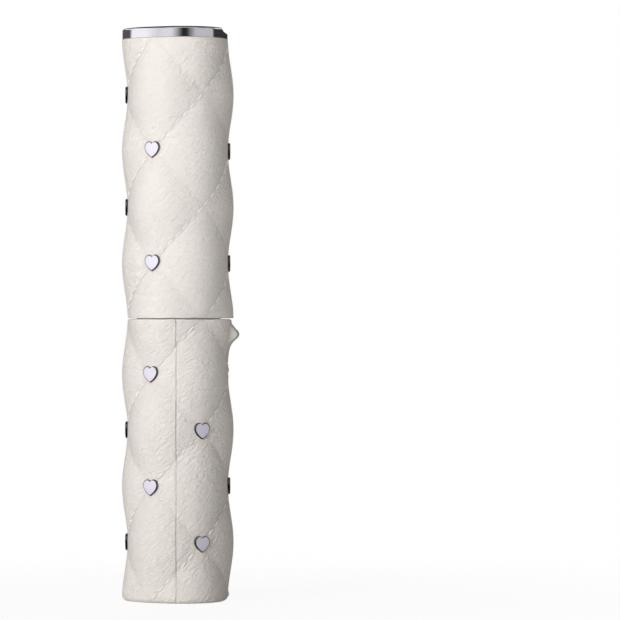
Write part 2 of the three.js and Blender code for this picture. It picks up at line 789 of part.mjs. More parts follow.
function headBlock() {
  const path = new THREE.Path();
  path.moveTo(headFront, -finHalfDepth + headCorner);
  path.quadraticCurveTo(headFront, -finHalfDepth, headFront + headCorner, -finHalfDepth);
  const geometry = new THREE.ExtrudeGeometry(endPath(path), {
    depth: headHeight - 2 * headRound, bevelThickness: headRound, bevelSize: headRound,
    bevelOffset: -headRound, bevelSegments: 1,
  });
  geometry.translate(0, 0, headBottom + headRound);
  return solid(geometry);
}

function guardTooth() {
  const half = finHalfDepth - guardInset - guardEdge;
  const geometry = new THREE.ExtrudeGeometry(guardOutline(), {
    depth: 2 * half, bevelThickness: guardEdge, bevelSize: guardEdge, bevelOffset: -guardEdge,
    bevelSegments: 2, curveSegments: 3,
  });
  geometry.rotateX(Math.PI / 2);
  geometry.translate(0, half, 0);
  return solid(geometry);
}

function combEndCap() {
  const spigot = block(spineFront + spigotInset, channelBack - gap, -channelHalf + gap, channelHalf - gap,
    headBottom - spigotLength, headBottom + overcut);
  addSolid('comb_end_cap', headBlock().add(guardTooth()).add(spigot), blackResin);
}

// Heated row: a plate with pointed teeth between the two rows of fin teeth.
const heatRootFront = spineFront + gap;
const heatRootBack = heatRootFront + heatRootThickness;
const heatLow = firstFin + heatToothThickness / 2;
const heatHigh = headBottom - spigotLength - gap;
const heatHalf = Math.min(channelHalf, finHalfDepth - armThickness) - gap;

function heatTooth(height) {
  const tip = -toothReach + heatToothShortfall;
  const half = heatToothThickness / 2;
  const shape = new THREE.Shape();
  shape.moveTo(tip, height);
  shape.lineTo(tip + heatTipSlopeBelow, height - half);
  shape.lineTo(heatRootFront + overcut, height - half);
  shape.lineTo(heatRootFront + overcut, height + half);
  shape.lineTo(tip + heatTipSlopeAbove, height + half);
  return shape;
}

function heatPlate() {
  let body = block(heatRootFront, heatRootBack, -heatHalf, heatHalf, heatLow, heatHigh);
  for (let i = 1; i < finCount - 1; i += 1) {
    const height = firstFin + (i + 0.5) * finPitch - heatToothDrop;
    body = body.add(drawnAcross(heatTooth(height), heatHalf));
  }
  addSolid('heat_plate', body, heatCoat);
}

const heaterLow = pedestalTop + heaterEndGap;
const heaterFront = heatRootBack + gap;
const clipFront = heaterFront + heaterThickness + gap;

function heater() {
  const heaterHigh = heatHigh - heaterEndGap;
  addSolid('heater_element', block(heaterFront, heaterFront + heaterThickness, -heatHalf, heatHalf,
    heaterLow, heaterHigh), ceramic);
  addSolid('temperature_sensor', block(heaterFront, heaterFront + heaterThickness, -heatHalf / 2, heatHalf / 2,
    heaterLow - gap - sensorLength, heaterLow - gap), nickel);
  addSolid('heater_clip', block(clipFront, clipFront + clipThickness, -heatHalf, heatHalf,
    heaterLow + clipEndGap, heaterHigh - clipEndGap), nickel);
}

// Two leads run from the top of the board through the foot to the sensor's lower end.
function heaterLeads() {
  const section = new THREE.Shape();
  section.absarc(0, 0, leadRadius, 0, 2 * Math.PI);
  const middle = heaterFront + heaterThickness / 2;
  const end = heaterLow - sensorLength - 3 * gap;
  const boardMiddle = boardOffset + boardThickness / 2;
  for (const [name, side, finish] of [['heater_lead_live', -1, redWire], ['heater_lead_return', 1, darkWire]]) {
    const y = side * leadSpacing / 2;
    const path = new THREE.CatmullRomCurve3([
      new THREE.Vector3(boardMiddle, y, boardTop + gap), new THREE.Vector3(boardMiddle, y, boardTop + leadRise),
      new THREE.Vector3(middle, y, flangeLow - footSkirt), new THREE.Vector3(middle, y, end),
    ]);
    const geometry = new THREE.ExtrudeGeometry(section, { steps: 9, extrudePath: path, curveSegments: 3 });
    addSolid(name, solid(geometry), finish);
  }
}

// Cap sleeve, with a key flat and a hollow that the raised thumb slide enters.
function capSleeve() {
  const crest = (windowBottom + windowTop) / 2;
  const grooveHalf = windowHeight / 4;
  const hollow = turned([
    [0, capBottom - overcut], [boreRadius, capBottom - overcut], [boreRadius, crest - grooveHalf],
    [boreRadius + grooveDepth, crest - grooveHalf / 2], [boreRadius + grooveDepth, crest + grooveHalf / 2],
    [boreRadius, crest + grooveHalf], [boreRadius, capTop], [0, capTop],
  ], fineSides);
  const key = block(-farOut, -keyFlat - gap, -farOut, farOut, 0, collarTopHeight + jointGap);
  const neck = creaseRadius + slideNeckRise + gap - crownAxis;
  const pocketHalf = slideWidth / 2 + gap;
  const pocket = rod(neck, capBottom - overcut, slideTop + slideTravel + gap, crownSides)
    .translate([crownAxis, 0, 0])
    .intersect(block(collarBore, farOut, -pocketHalf, pocketHalf, 0, farUp));
  const sleeve = quiltedBody(capBottom + capDrop, sleeveTop + capDrop, capRimRound, capRimRound)
    .rotate([0, 0, capTurn]).translate([0, 0, -capDrop]);
  addSolid('cap_shell', sleeve.subtract(hollow.subtract(key)).subtract(pocket), ivory);
}

// Chrome end: it follows the quilted outline, with a slanted notch on the slide's side.
function coverOutline() {
  const points = [];
  for (let i = 0; i < columns; i += 1) {
    const angle = columnAngles[0] + i * 360 / columns;
    const edge = onCircle(quiltRadius(angle, sleeveTop + capDrop) - coverInset, angle + capTurn, 0);
    points.push(new THREE.Vector2(edge.x, edge.y));
  }
  return new THREE.Shape(points);
}

const bossTop = coverBottom + plugBossHeight;

function capEnd() {
  const geometry = new THREE.ExtrudeGeometry(coverOutline(), {
    depth: capTop - coverBottom - 2 * coverBevel, bevelThickness: coverBevel, bevelSize: coverBevel,
    bevelOffset: -coverBevel, bevelSegments: 1,
  });
  geometry.translate(0, 0, coverBottom + coverBevel);
  const outer = quiltRadius(90 - capTurn, sleeveTop + capDrop);
  const cut = new THREE.Shape();
  cut.moveTo(outer - notchDepth, capTop + overcut);
  cut.lineTo(outer - notchDepth, capTop - notchFloorDrop);
  cut.lineTo(outer + notchDepth, capTop - notchFloorDrop - notchDepth);
  cut.lineTo(outer + notchDepth, capTop + overcut);
  const seat = rod(plugBossRadius + gap, 0, bossTop + gap);
  addSolid('cap_top_cover', solid(geometry).subtract(drawnAcross(cut, notchHalfWidth)).subtract(seat), chrome);
  const plug = turned([
    [0, plugBottom], [boreRadius - gap, plugBottom], [boreRadius - gap, sleeveTop],
    [plugBossRadius, sleeveTop], [plugBossRadius, bossTop], [0, bossTop],
  ], fineSides);
  addSolid('cap_inner_plug', plug, smoothIvory);
}

// Heart studs where the stitch lines cross.
function heartGeometry() {
  const [w, h] = [heartWidth / 2 - heartBevel, heartHeight / 2 - heartBevel];
  const shape = new THREE.Shape();
  shape.moveTo(0, -h);
  shape.bezierCurveTo(0.36 * w, -0.8 * h, w, -0.28 * h, w, 0.28 * h);
  shape.bezierCurveTo(w, 0.84 * h, 0.4 * w, 1.27 * h, 0, 0.75 * h);
  shape.bezierCurveTo(-0.4 * w, 1.27 * h, -w, 0.84 * h, -w, 0.28 * h);
  shape.bezierCurveTo(-w, -0.28 * h, -0.36 * w, -0.8 * h, 0, -h);
  return new THREE.ExtrudeGeometry(shape, {
    depth: heartThickness - 2 * heartBevel, bevelThickness: heartBevel, bevelSize: heartBevel,
    bevelSegments: 1, curveSegments: 3,
  });
}

// A column has its studs on whole or on half rows of diamonds, turn about.
function studHeights(column, low, high) {
  const heights = [];
  const start = firstStudRow + (column % 2) * diamondHeight / 2;
  for (let height = start; height < high; height += diamondHeight) {
    if (height > low) {
      heights.push(height);
    }
  }
  return heights;
}

function studs(prefix, low, high, isBare, turn = 0, drop = 0) {
  let number = 1;
  columnAngles.forEach((angle, column) => {
    for (const height of studHeights(column, low + heartHeight, high - heartHeight)) {
      if (!isBare(angle, height)) {
        const name = `${prefix}_${String(number).padStart(2, '0')}`;
        const mesh = addMesh(name, closedGeometry(heartGeometry()), chrome);
        mesh.position.copy(onCircle(creaseRadius + gap + heartBevel, angle + turn, height - drop));
        mesh.rotation.set(Math.PI / 2, 0, THREE.MathUtils.degToRad(angle + turn), 'ZYX');
        number += 1;
      }
    }
  });
}

function closedGeometry(geometry) {
  geometry.deleteAttribute('normal');
  geometry.deleteAttribute('uv');
  const merged = mergeVertices(geometry, 1e-4);
  merged.computeVertexNormals();
  return merged;
}

handleShells();
basePlate();
chargePort();
cell();
tray();
circuitBoard();
slideSwitch();
thumbSlide();
collar();
latchSprings();
combFoot();
combBody();
combEndCap();
heatPlate();
heater();
heaterLeads();
capSleeve();
capEnd();
studs('handle_stud', 0, handleLength, (angle, height) => angle === 90 && height > slideBottom - diamondHeight / 4);
studs('cap_stud', capBottom, sleeveTop, (angle) => angle === 30, capTurn, capDrop);

export default group;
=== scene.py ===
# %% [markdown]
# # A cordless hair straightening comb in a quilted case
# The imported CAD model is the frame: it fixes every size and place, and its pieces already move
# with their joints. This lesson loads it, sets up a small studio, and then dresses the pieces one
# after another: quilted shells, stitches, heart studs, the bright end, the thumb slide, the collar
# and the comb itself. Shapes are written in millimetres and turned into metres as they are made.

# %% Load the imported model
import json
import math

import bpy
import bmesh
from mathutils import Matrix, Vector


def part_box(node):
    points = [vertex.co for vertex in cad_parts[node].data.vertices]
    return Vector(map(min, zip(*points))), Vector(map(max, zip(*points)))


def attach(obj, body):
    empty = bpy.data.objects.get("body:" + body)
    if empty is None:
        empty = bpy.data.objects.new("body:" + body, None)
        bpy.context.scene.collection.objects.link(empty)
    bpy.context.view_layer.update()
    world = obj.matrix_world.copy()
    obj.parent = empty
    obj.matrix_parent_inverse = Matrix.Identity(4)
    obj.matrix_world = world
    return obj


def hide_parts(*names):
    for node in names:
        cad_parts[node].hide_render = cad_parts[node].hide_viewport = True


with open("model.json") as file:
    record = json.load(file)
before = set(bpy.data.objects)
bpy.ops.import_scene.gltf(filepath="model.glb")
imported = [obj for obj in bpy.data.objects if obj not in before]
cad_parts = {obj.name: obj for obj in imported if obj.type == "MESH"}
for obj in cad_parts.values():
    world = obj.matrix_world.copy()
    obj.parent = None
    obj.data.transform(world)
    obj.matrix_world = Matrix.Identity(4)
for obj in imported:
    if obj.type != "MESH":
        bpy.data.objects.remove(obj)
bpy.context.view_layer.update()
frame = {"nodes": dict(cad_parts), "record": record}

MM_PER_M = 1000

# %% [markdown]
# ## Camera
# The product was photographed from straight ahead with a long lens, at half its height. The
# closed comb stands in the left half of the picture, so the camera stands 44 mm to its right and
# looks straight along +Y. A long lens keeps the cylinder's edges almost parallel.

# %% Place the camera
LENS = 232
CAMERA_PLACE = (0.0440, -1.3300, 0.0966)
FAR_CLIP = 20

camera_data = bpy.data.cameras.new("portrait_camera")
camera_data.lens = LENS
camera_data.clip_end = FAR_CLIP
camera = bpy.data.objects.new("portrait_camera", camera_data)
bpy.context.collection.objects.link(camera)
camera.location = CAMERA_PLACE
camera.rotation_euler = (math.radians(90), 0, 0)
bpy.context.scene.camera = camera
bpy.context.scene.view_settings.view_transform = "Standard"
print("camera", CAMERA_PLACE, "lens", LENS)

# %% [markdown]
# ## Lamps
# The light comes from a large softbox at the front left, so the shells are bright from their left
# edge to the middle and fall off to a warm grey on the right. A lamp overhead lights the floor
# and the upper edges. A low one in front stands for the light that the table throws back, and
# nothing mirrors it, because it would show as a stripe on the black fins. One behind keeps the far
# side from going dark, and a small one with a narrow spread lifts the cap a little. The world
# gives the rest.

# %% Hang the softboxes
NARROW_SPREAD = math.radians(18)

def softbox(name, place, aim, width, height, watts, tint=(1, 1, 1)):
    lamp = bpy.data.lights.new(name, "AREA")
    lamp.shape = "RECTANGLE"
    lamp.size = width
    lamp.size_y = height
    lamp.energy = watts
    lamp.color = tint
    holder = bpy.data.objects.new(name, lamp)
    bpy.context.collection.objects.link(holder)
    holder.location = place
    holder.rotation_euler = (Vector(aim) - Vector(place)).to_track_quat("-Z", "Y").to_euler()
    return holder

softbox("key_softbox", (-1.06, -1.36, 0.60), (0, 0, 0.1), 0.9, 1.2, 23, (0.99, 0.985, 1.0))
softbox("top_softbox", (-0.1, 0.0, 2.0), (0, 0, 0), 1.0, 1.0, 8)
front_fill = softbox("front_fill", (0.15, -1.60, 0.22), (0, 0, 0.06), 0.7, 0.5, 1.8)
front_fill.visible_glossy = False
softbox("back_fill", (-0.06, 1.65, 0.7), (0, 0, 0.1), 0.9, 1.2, 12, (1.0, 0.98, 0.95))
cap_lamp = softbox("cap_softbox", (0.30, -0.75, 0.42), (0, 0, 0.185), 0.25, 0.25, 0.045)
cap_lamp.data.spread = NARROW_SPREAD

# %% [markdown]
# ## A helper that adds a shader node
# The world and every finish are small graphs of nodes. Written out, each node takes a line to
# make it and one for each input. The helper does it in one call: what feeds an input is either
# the output of another node, which gets a link, or a plain value, which is set on the socket.

# %% Helpers for shader nodes
def add_node(tree, kind, feeds=None, **settings):
    """A new node of this kind. feeds says what goes into its inputs, settings its options."""
    made = tree.nodes.new("ShaderNode" + kind)
    for key, value in settings.items():
        setattr(made, key, value)
    for key, source in (feeds or {}).items():
        if isinstance(source, bpy.types.NodeSocket):
            tree.links.new(source, made.inputs[key])
        else:
            made.inputs[key].default_value = source
    return made

def object_place(tree):
    return add_node(tree, "TexCoord").outputs["Object"]

def math_of(tree, operation, *values):
    return add_node(tree, "Math", dict(enumerate(values)), operation=operation).outputs[0]

def seen_or_mirrored(tree):
    paths = add_node(tree, "LightPath").outputs
    return math_of(tree, "MAXIMUM", paths["Is Camera Ray"], paths["Is Glossy Ray"])

def eased(tree, value, start, end, lowest=0.0):
    """Rises smoothly from lowest at start to 1 at end."""
    feeds = {"Value": value, "From Min": start, "From Max": end, "To Min": lowest}
    return add_node(tree, "MapRange", feeds, interpolation_type="SMOOTHSTEP").outputs["Result"]

def mixed(tree, factor, first, second, blend="MIX"):
    """A mix of two colours, each a socket or a plain tone."""
    feeds = {"Factor": factor}
    for key, tone in (("A", first), ("B", second)):
        feeds[key] = (*tone, 1) if isinstance(tone, tuple) else tone
    return add_node(tree, "Mix", feeds, data_type="RGBA", blend_type=blend).outputs["Result"]

def empty_material(name):
    material = bpy.data.materials.new(name)
    material.use_nodes = True
    material.node_tree.nodes.clear()
    return material

print("kinds of helper: nodes, math, smooth steps and mixes")

# %% [markdown]
# ## World and floor
# The background is white paper. The world is white where the camera, a reflection or a
# see-through ray meets it, and a soft warm grey where it lights a surface. The floor keeps the
# comb's shadow close to it and turns into the white of the paper further out.

# %% Make the world
AMBIENT_TONE, AMBIENT_STRENGTH = (1.0, 0.94, 0.84, 1), 0.11

world = bpy.data.worlds.new("white_studio")
bpy.context.scene.world = world
world.use_nodes = True
tree = world.node_tree
tree.nodes.clear()
through_glass = add_node(tree, "LightPath").outputs["Is Transmission Ray"]
seen = math_of(tree, "MAXIMUM", seen_or_mirrored(tree), through_glass)
ambient = add_node(tree, "Background", {"Color": AMBIENT_TONE, "Strength": AMBIENT_STRENGTH})
paper = add_node(tree, "Background", {"Color": (1, 1, 1, 1), "Strength": 1.0})
choose = add_node(tree, "MixShader", {0: seen, 1: ambient.outputs[0], 2: paper.outputs[0]})
add_node(tree, "OutputWorld", {"Surface": choose.outputs[0]})
print("world nodes:", len(tree.nodes))

# %% Lay the floor
HALF_FLOOR = 3.0
FADE_START, FADE_END, FADE_LOWEST = 0.03, 0.30, 0.92
PAPER_GREY = (0.80, 0.80, 0.80, 1)

def flat_mesh(name, points, faces):
    mesh = bpy.data.meshes.new(name)
    mesh.from_pydata(points, [], faces)
    thing = bpy.data.objects.new(name, mesh)
    bpy.context.collection.objects.link(thing)
    return thing

def paper_material():
    material = empty_material("floor_paper")
    tree = material.node_tree
    lit = add_node(tree, "BsdfDiffuse", {"Color": PAPER_GREY})
    white = add_node(tree, "Emission", {"Strength": 1.0})
    distance = add_node(tree, "VectorMath", {0: object_place(tree)}, operation="LENGTH")
    fade = eased(tree, distance.outputs["Value"], FADE_START, FADE_END, FADE_LOWEST)
    amount = math_of(tree, "MULTIPLY", seen_or_mirrored(tree), fade)
    mix = add_node(tree, "MixShader", {0: amount, 1: lit.outputs[0], 2: white.outputs[0]})
    add_node(tree, "OutputMaterial", {"Surface": mix.outputs[0]})
    return material

corners = [(x * HALF_FLOOR, y * HALF_FLOOR, 0) for x, y in ((-1, -1), (1, -1), (1, 1), (-1, 1))]
floor = flat_mesh("paper_floor", corners, [(0, 1, 2, 3)])
floor.data.materials.append(paper_material())
print("floor is", 2 * HALF_FLOOR, "m wide")

# %% [markdown]
# ## Reflector cards
# Bright metal only looks like metal when it has something to mirror. A round wall of six cards
# stands about the set: white at the left, black on the camera's side, light grey at the right,
# dark behind. It is one mesh whose tone follows the angle, with soft changes from card to card,
# and it is higher at the front. A black card lies under the set, and a large one hangs over it and
# behind it. They draw the dark edges that polished metal has in such pictures. Wall and cards
# are seen by reflections alone.

# %% Stand the reflector wall around the set
# Each card spans two angles, in degrees round from the camera's side, and has one brightness.
STUDIO_CARDS = [("grey", -180, -106, 0.10), ("white", -98, -66, 1.10), ("pale grey", -50, -28, 0.70),
                ("black", -5, 6, 0.02), ("light grey", 30, 84, 0.60), ("dark grey", 90, 180, 0.04)]
CARD_TINT = (0.98, 0.97, 1.0)
WALL_RADIUS, WALL_FOOT, WALL_STEPS = 0.30, 0.001, 72
FRONT_HEIGHT, BACK_HEIGHT, BACK_BEGINS = 0.42, 0.28, 0.05

def wall_material():
    material = empty_material("reflector_wall")
    tree = material.node_tree
    split = add_node(tree, "SeparateXYZ", {"Vector": object_place(tree)}).outputs
    turn = math_of(tree, "ARCTAN2", split["X"], math_of(tree, "MULTIPLY", split["Y"], -1))
    share = add_node(tree, "MapRange", {"Value": turn, "From Min": -math.pi, "From Max": math.pi})
    ramp = add_node(tree, "ValToRGB", {"Fac": share.outputs["Result"]})
    stops = ramp.color_ramp.elements
    edges = [(angle, tone) for _, first, last, tone in STUDIO_CARDS for angle in (first, last)]
    while len(stops) < len(edges):
        stops.new(0.5)
    for stop, (angle, tone) in zip(stops, edges):
        stop.position = (angle + 180) / 360
        stop.color = (*(tone * tint for tint in CARD_TINT), 1)
    glow = add_node(tree, "Emission", {"Color": ramp.outputs["Color"], "Strength": 1.0})
    add_node(tree, "OutputMaterial", {"Surface": glow.outputs[0]})
    return material

def only_in_reflections(card, material):
    card.data.materials.append(material)
    for ray in ("camera", "diffuse", "shadow", "transmission"):
        setattr(card, "visible_" + ray, False)

def reflector_wall():
    points, faces = [], []
    for i in range(WALL_STEPS):
        turn = math.tau * i / WALL_STEPS
        x, y = WALL_RADIUS * math.sin(turn), -WALL_RADIUS * math.cos(turn)
        points += [(x, y, WALL_FOOT), (x, y, FRONT_HEIGHT if y < BACK_BEGINS else BACK_HEIGHT)]
        n = (i + 1) % WALL_STEPS
        faces.append((2 * i, 2 * i + 1, 2 * n + 1, 2 * n))
    only_in_reflections(flat_mesh("reflector_wall", points, faces), wall_material())

reflector_wall()
print("reflector wall:", [name for name, *_ in STUDIO_CARDS])

# %% Lay and hang the black cards
FELT_TONE = (0.02, 0.02, 0.02, 1)
RIM_POINTS, LOW_CARD_HEIGHT = 48, 0.0006
CARD_HALF_WIDTH, CARD_FRONT, CARD_BACK = 0.28, -0.20, 1.0

def black_card(name, rim, height):
    card = flat_mesh(name, [(x, y, height) for x, y in rim], [tuple(range(len(rim)))])
    material = empty_material(name)
    felt = add_node(material.node_tree, "Emission", {"Color": FELT_TONE})
    add_node(material.node_tree, "OutputMaterial", {"Surface": felt.outputs[0]})
    only_in_reflections(card, material)

turns = [math.tau * k / RIM_POINTS for k in range(RIM_POINTS)]
disc = [(WALL_RADIUS * math.sin(t), WALL_RADIUS * math.cos(t)) for t in turns]
sheet = [(-CARD_HALF_WIDTH, CARD_FRONT), (CARD_HALF_WIDTH, CARD_FRONT),
         (CARD_HALF_WIDTH, CARD_BACK), (-CARD_HALF_WIDTH, CARD_BACK)]
black_card("black_card_below", disc, LOW_CARD_HEIGHT)
black_card("black_card_above", sheet, FRONT_HEIGHT)
print("black cards at", LOW_CARD_HEIGHT, "and", FRONT_HEIGHT, "m")

# %% [markdown]
# ## Finishes
# Each finish is one procedural material: a principled shader with a bump and a tint that come
# from layered noise. The noise is scaled in repeats per millimetre of the object, so grain keeps
# its size on every piece. Numbers that are the same all over a surface sit on the shader's sockets.

# %% Helpers for finishes
TINT_FROM, TINT_TO, NOISE_ROUGHNESS = 0.35, 0.65, 0.55

def noise(tree, per_mm, detail=3.0, distortion=0.0, stretch=(1, 1, 1)):
    place = add_node(tree, "Mapping", {"Vector": object_place(tree), "Scale": stretch})
    feeds = {"Vector": place.outputs["Vector"], "Scale": per_mm * MM_PER_M, "Detail": detail,
             "Roughness": NOISE_ROUGHNESS, "Distortion": distortion}
    return add_node(tree, "TexNoise", feeds).outputs["Fac"]

def shader_input(tree, key):
    return tree.nodes["Principled BSDF"].inputs[key]

def add_relief(tree, height, depth_mm, strength=1.0):
    """Puts a relief over those that the shader already has."""
    normal = shader_input(tree, "Normal")
    feeds = {"Height": height, "Distance": depth_mm / MM_PER_M, "Strength": strength}
    if normal.links:
        feeds["Normal"] = normal.links[0].from_socket
    tree.links.new(add_node(tree, "Bump", feeds).outputs["Normal"], normal)

def add_tint(tree, factor, dark, light):
    ramp = add_node(tree, "ValToRGB", {"Fac": factor})
    for stop, position, tone in zip(ramp.color_ramp.elements, (TINT_FROM, TINT_TO), (dark, light)):
        stop.position = position
        stop.color = (*tone, 1)
    tree.links.new(ramp.outputs["Color"], shader_input(tree, "Base Color"))

def finish(name, color, roughness, metallic=0.0, specular=0.5, tint=None, relief=None, gloss=None):
    """One material. tint is (repeats per mm, detail, dark, light), relief is (repeats per mm,
    detail, depth in mm, strength, stretch of the noise) and gloss is (repeats per mm, low, high)."""
    material = bpy.data.materials.new(name)
    material.use_nodes = True
    tree = material.node_tree
    values = {"Base Color": (*color, 1), "Roughness": roughness, "Metallic": metallic,
              "Specular IOR Level": specular}
    for key, value in values.items():
        shader_input(tree, key).default_value = value
    if tint:
        add_tint(tree, noise(tree, *tint[:2]), *tint[2:])
    if relief:
        per_mm, detail, depth, strength, *stretch = relief
        add_relief(tree, noise(tree, per_mm, detail, 0.0, *stretch), depth, strength)
    if gloss:
        feeds = {"Value": noise(tree, gloss[0]), "To Min": gloss[1], "To Max": gloss[2]}
        spread = add_node(tree, "MapRange", feeds).outputs["Result"]
        tree.links.new(spread, shader_input(tree, "Roughness"))
    return material

print("finish helper ready, noise roughness", NOISE_ROUGHNESS)

# %% [markdown]
# ### Ivory leather grain
# The shells are moulded resin with the grain of soft leather: small creased cells about a
# millimetre across, and over them fine folds that all lie a little slanted. The cells are a
# Voronoi pattern bent by noise, and the folds are noise that is stretched and turned. Shade is
# painted into the stitched creases: the skin's colour is darker there. How much is read from a
# value that the mesh code writes on every point, because only the mesh knows where the creases run.

# %% Make the leather finish
LEATHER_TONE = (0.805, 0.762, 0.720)
# The crease colour is painted shade: darker leather where the creases run.
PAINTED_CREASE_SHADE_TONE = (0.640, 0.590, 0.535)
CELLS_PER_M, CELL_EDGE, WARPS_PER_M, WARP = 600, 0.46, 420, (0.0024, 0.0024, 0.0024)
FOLDS_PER_M, FOLD_TURN, FOLD_STRETCH = 940, (0, math.radians(-35), 0), (2.2, 1.2, 0.8)
PATCH_DARK, PATCH_LIGHT = 0.965, 1.03

def leather_cells(tree, place):
    warp = add_node(tree, "TexNoise", {"Vector": place, "Scale": WARPS_PER_M, "Detail": 2})
    feeds = {0: warp.outputs["Color"], 1: WARP, 2: place}
    shift = add_node(tree, "VectorMath", feeds, operation="MULTIPLY_ADD")
    feeds = {"Vector": shift.outputs["Vector"], "Scale": CELLS_PER_M}
    cells = add_node(tree, "TexVoronoi", feeds, feature="DISTANCE_TO_EDGE")
    return eased(tree, cells.outputs["Distance"], 0, CELL_EDGE)

def leather_folds(tree, place):
    lay = add_node(tree, "Mapping", {"Vector": place, "Rotation": FOLD_TURN, "Scale": FOLD_STRETCH},
                   vector_type="TEXTURE")
    feeds = {"Vector": lay.outputs["Vector"], "Scale": FOLDS_PER_M, "Detail": 2.2, "Distortion": 0.7}
    return add_node(tree, "TexNoise", feeds).outputs["Fac"]

def leather_finish():
    material = finish("ivory_leather_grain", LEATHER_TONE, 0.56, specular=0.32, gloss=(0.9, 0.50, 0.64))
    tree = material.node_tree
    place = object_place(tree)
    add_relief(tree, leather_cells(tree, place), 0.07, 0.8)
    add_relief(tree, leather_folds(tree, place), 0.56)
    add_relief(tree, noise(tree, 0.5, 2, distortion=0.6), 0.12)
    # Painted shade in the creases, from the value the mesh wrote, then random light and dark patches.
    painted_crease_shade = add_node(tree, "Attribute", attribute_name="painted_crease_shade").outputs["Fac"]
    feeds = {"Value": noise(tree, 0.05, 2), "To Min": PATCH_DARK, "To Max": PATCH_LIGHT}
    patches = add_node(tree, "MapRange", feeds).outputs["Result"]
    tone = mixed(tree, painted_crease_shade, LEATHER_TONE, PAINTED_CREASE_SHADE_TONE)
    tree.links.new(mixed(tree, 1.0, tone, patches, "MULTIPLY"), shader_input(tree, "Base Color"))
    return material

leather = leather_finish()
print("finish:", leather.name)

# %% [markdown]
# ### Resin, thread and plate
# The collar and the thumb slide are smooth ivory resin; the slide's copy is darker, which is painted
# shade. The stitches are thread. The cap's end is polished plate, and the studs have a satin face
# and a darker rim, whose dark colour is a painted reflection.
# The comb is black heat-proof resin, whose spine has a finish of its own, and its heated row has
# a dark coat. All share the helper above and differ in tone, gloss and grain.

# %% Make the resin, thread and plate finishes
def smooth_ivory_finish(name, dark, light):
    return finish(name, light, 0.36, specular=0.15, tint=(0.08, 2, dark, light), relief=(2.6, 2, 0.012, 0.5),
                  gloss=(0.6, 0.32, 0.42))

def plate_finish(name, color, low, high, metallic=1.0):
    return finish(name, color, low, metallic, relief=(1.2, 2, 0.004, 0.4), gloss=(0.35, low, high))

def black_finish(name, dark, light, specular, low, high):
    return finish(name, light, low, specular=specular, tint=(0.3, 3, dark, light),
                  relief=(4.5, 3, 0.008, 0.4), gloss=(1.1, low, high))

smooth_ivory = smooth_ivory_finish("smooth_ivory_resin", (0.745, 0.705, 0.655), (0.775, 0.735, 0.690))
# The slide's copy of the resin is darker: painted shade.
shaded_slide_ivory = smooth_ivory_finish("shaded_ivory_resin", (0.66, 0.625, 0.58), (0.70, 0.665, 0.625))
thread = finish("ivory_thread", (0.86, 0.83, 0.79), 0.5, relief=(7.0, 2, 0.03, 0.6, (1, 1, 0.4)),
                tint=(0.9, 3, (0.87, 0.84, 0.80), (0.93, 0.91, 0.88)))
bright_plate = plate_finish("bright_plate", (0.80, 0.80, 0.82), 0.07, 0.13)
stud_face = plate_finish("stud_face_plate", (0.705, 0.680, 0.775), 0.36, 0.42, 0.16)
# The studs' rim: dark plate, a painted reflection of the dark side of the room.
stud_rim_reflection = plate_finish("stud_rim_painted_reflection", (0.19, 0.18, 0.18), 0.09, 0.13)
black_resin = black_finish("black_fin_resin", (0.0022, 0.0022, 0.0028), (0.0038, 0.0036, 0.0046),
                           0.30, 0.15, 0.24)
spine_resin = black_finish("black_spine_resin", (0.0022, 0.0022, 0.0032), (0.0042, 0.0042, 0.0056),
                           0.40, 0.18, 0.26)
heat_coat = finish("dark_heat_coat", (0.002, 0.002, 0.0022), 0.28, specular=0.08, relief=(6.0, 2, 0.008, 0.5),
                   tint=(0.5, 3, (0.0012, 0.0012, 0.0014), (0.0032, 0.0032, 0.0034)))
print("finishes:", len(bpy.data.materials))

# %% [markdown]
# ### Painted highlights and painted shade on fins and springs
# Light is painted into two colours here. The fins' outer edges get a lighter black where they
# face up: a painted highlight. The latch springs' brass is bright where it stands out and dark
# in its folds: a painted highlight on the crest and painted shade in the folds. Both are set by
# the distance from the middle plane between front and back, which needs no mask drawn as an image.

# %% Paint highlights on the fins, highlight and shade on the springs
# The fins' painted highlight colour, and the band across the comb where it lies.
PAINTED_HIGHLIGHT_BLACK = (0.055, 0.055, 0.062)
HIGHLIGHT_BAND_START, HIGHLIGHT_BAND_END = 5.0 / MM_PER_M, 5.9 / MM_PER_M
UPWARD_START, UPWARD_END = 0.25, 0.75
# Painted shade in the springs' folds and painted highlight on their crests.
PAINTED_SHADE_BRASS, PAINTED_HIGHLIGHT_BRASS = (0.05, 0.04, 0.015), (0.80, 0.76, 0.64)
SPRING_FOLD, SPRING_CREST = 13.5 / MM_PER_M, 14.2 / MM_PER_M

def from_middle_plane(tree):
    across = add_node(tree, "SeparateXYZ", {"Vector": object_place(tree)}).outputs["Y"]
    return math_of(tree, "ABSOLUTE", across)

# Painted highlight on the fins' upward-facing outer edges.
def paint_highlight_on_upper_edges(tree):
    normal = add_node(tree, "NewGeometry").outputs["Normal"]
    facing_up = add_node(tree, "SeparateXYZ", {"Vector": normal}).outputs["Z"]
    upward = eased(tree, facing_up, UPWARD_START, UPWARD_END)
    feeds = {"Value": from_middle_plane(tree), "From Min": HIGHLIGHT_BAND_START, "From Max": HIGHLIGHT_BAND_END}
    outside = add_node(tree, "MapRange", feeds).outputs["Result"]
    color = shader_input(tree, "Base Color")
    amount = math_of(tree, "MULTIPLY", upward, outside)
    tree.links.new(mixed(tree, amount, color.links[0].from_socket, PAINTED_HIGHLIGHT_BLACK), color)

# Painted highlight on the crest, painted shade in the folds.
def paint_spring_highlight_and_shade(tree):
    painted_light = eased(tree, from_middle_plane(tree), SPRING_FOLD, SPRING_CREST)
    tree.links.new(mixed(tree, painted_light, PAINTED_SHADE_BRASS, PAINTED_HIGHLIGHT_BRASS), shader_input(tree, "Base Color"))

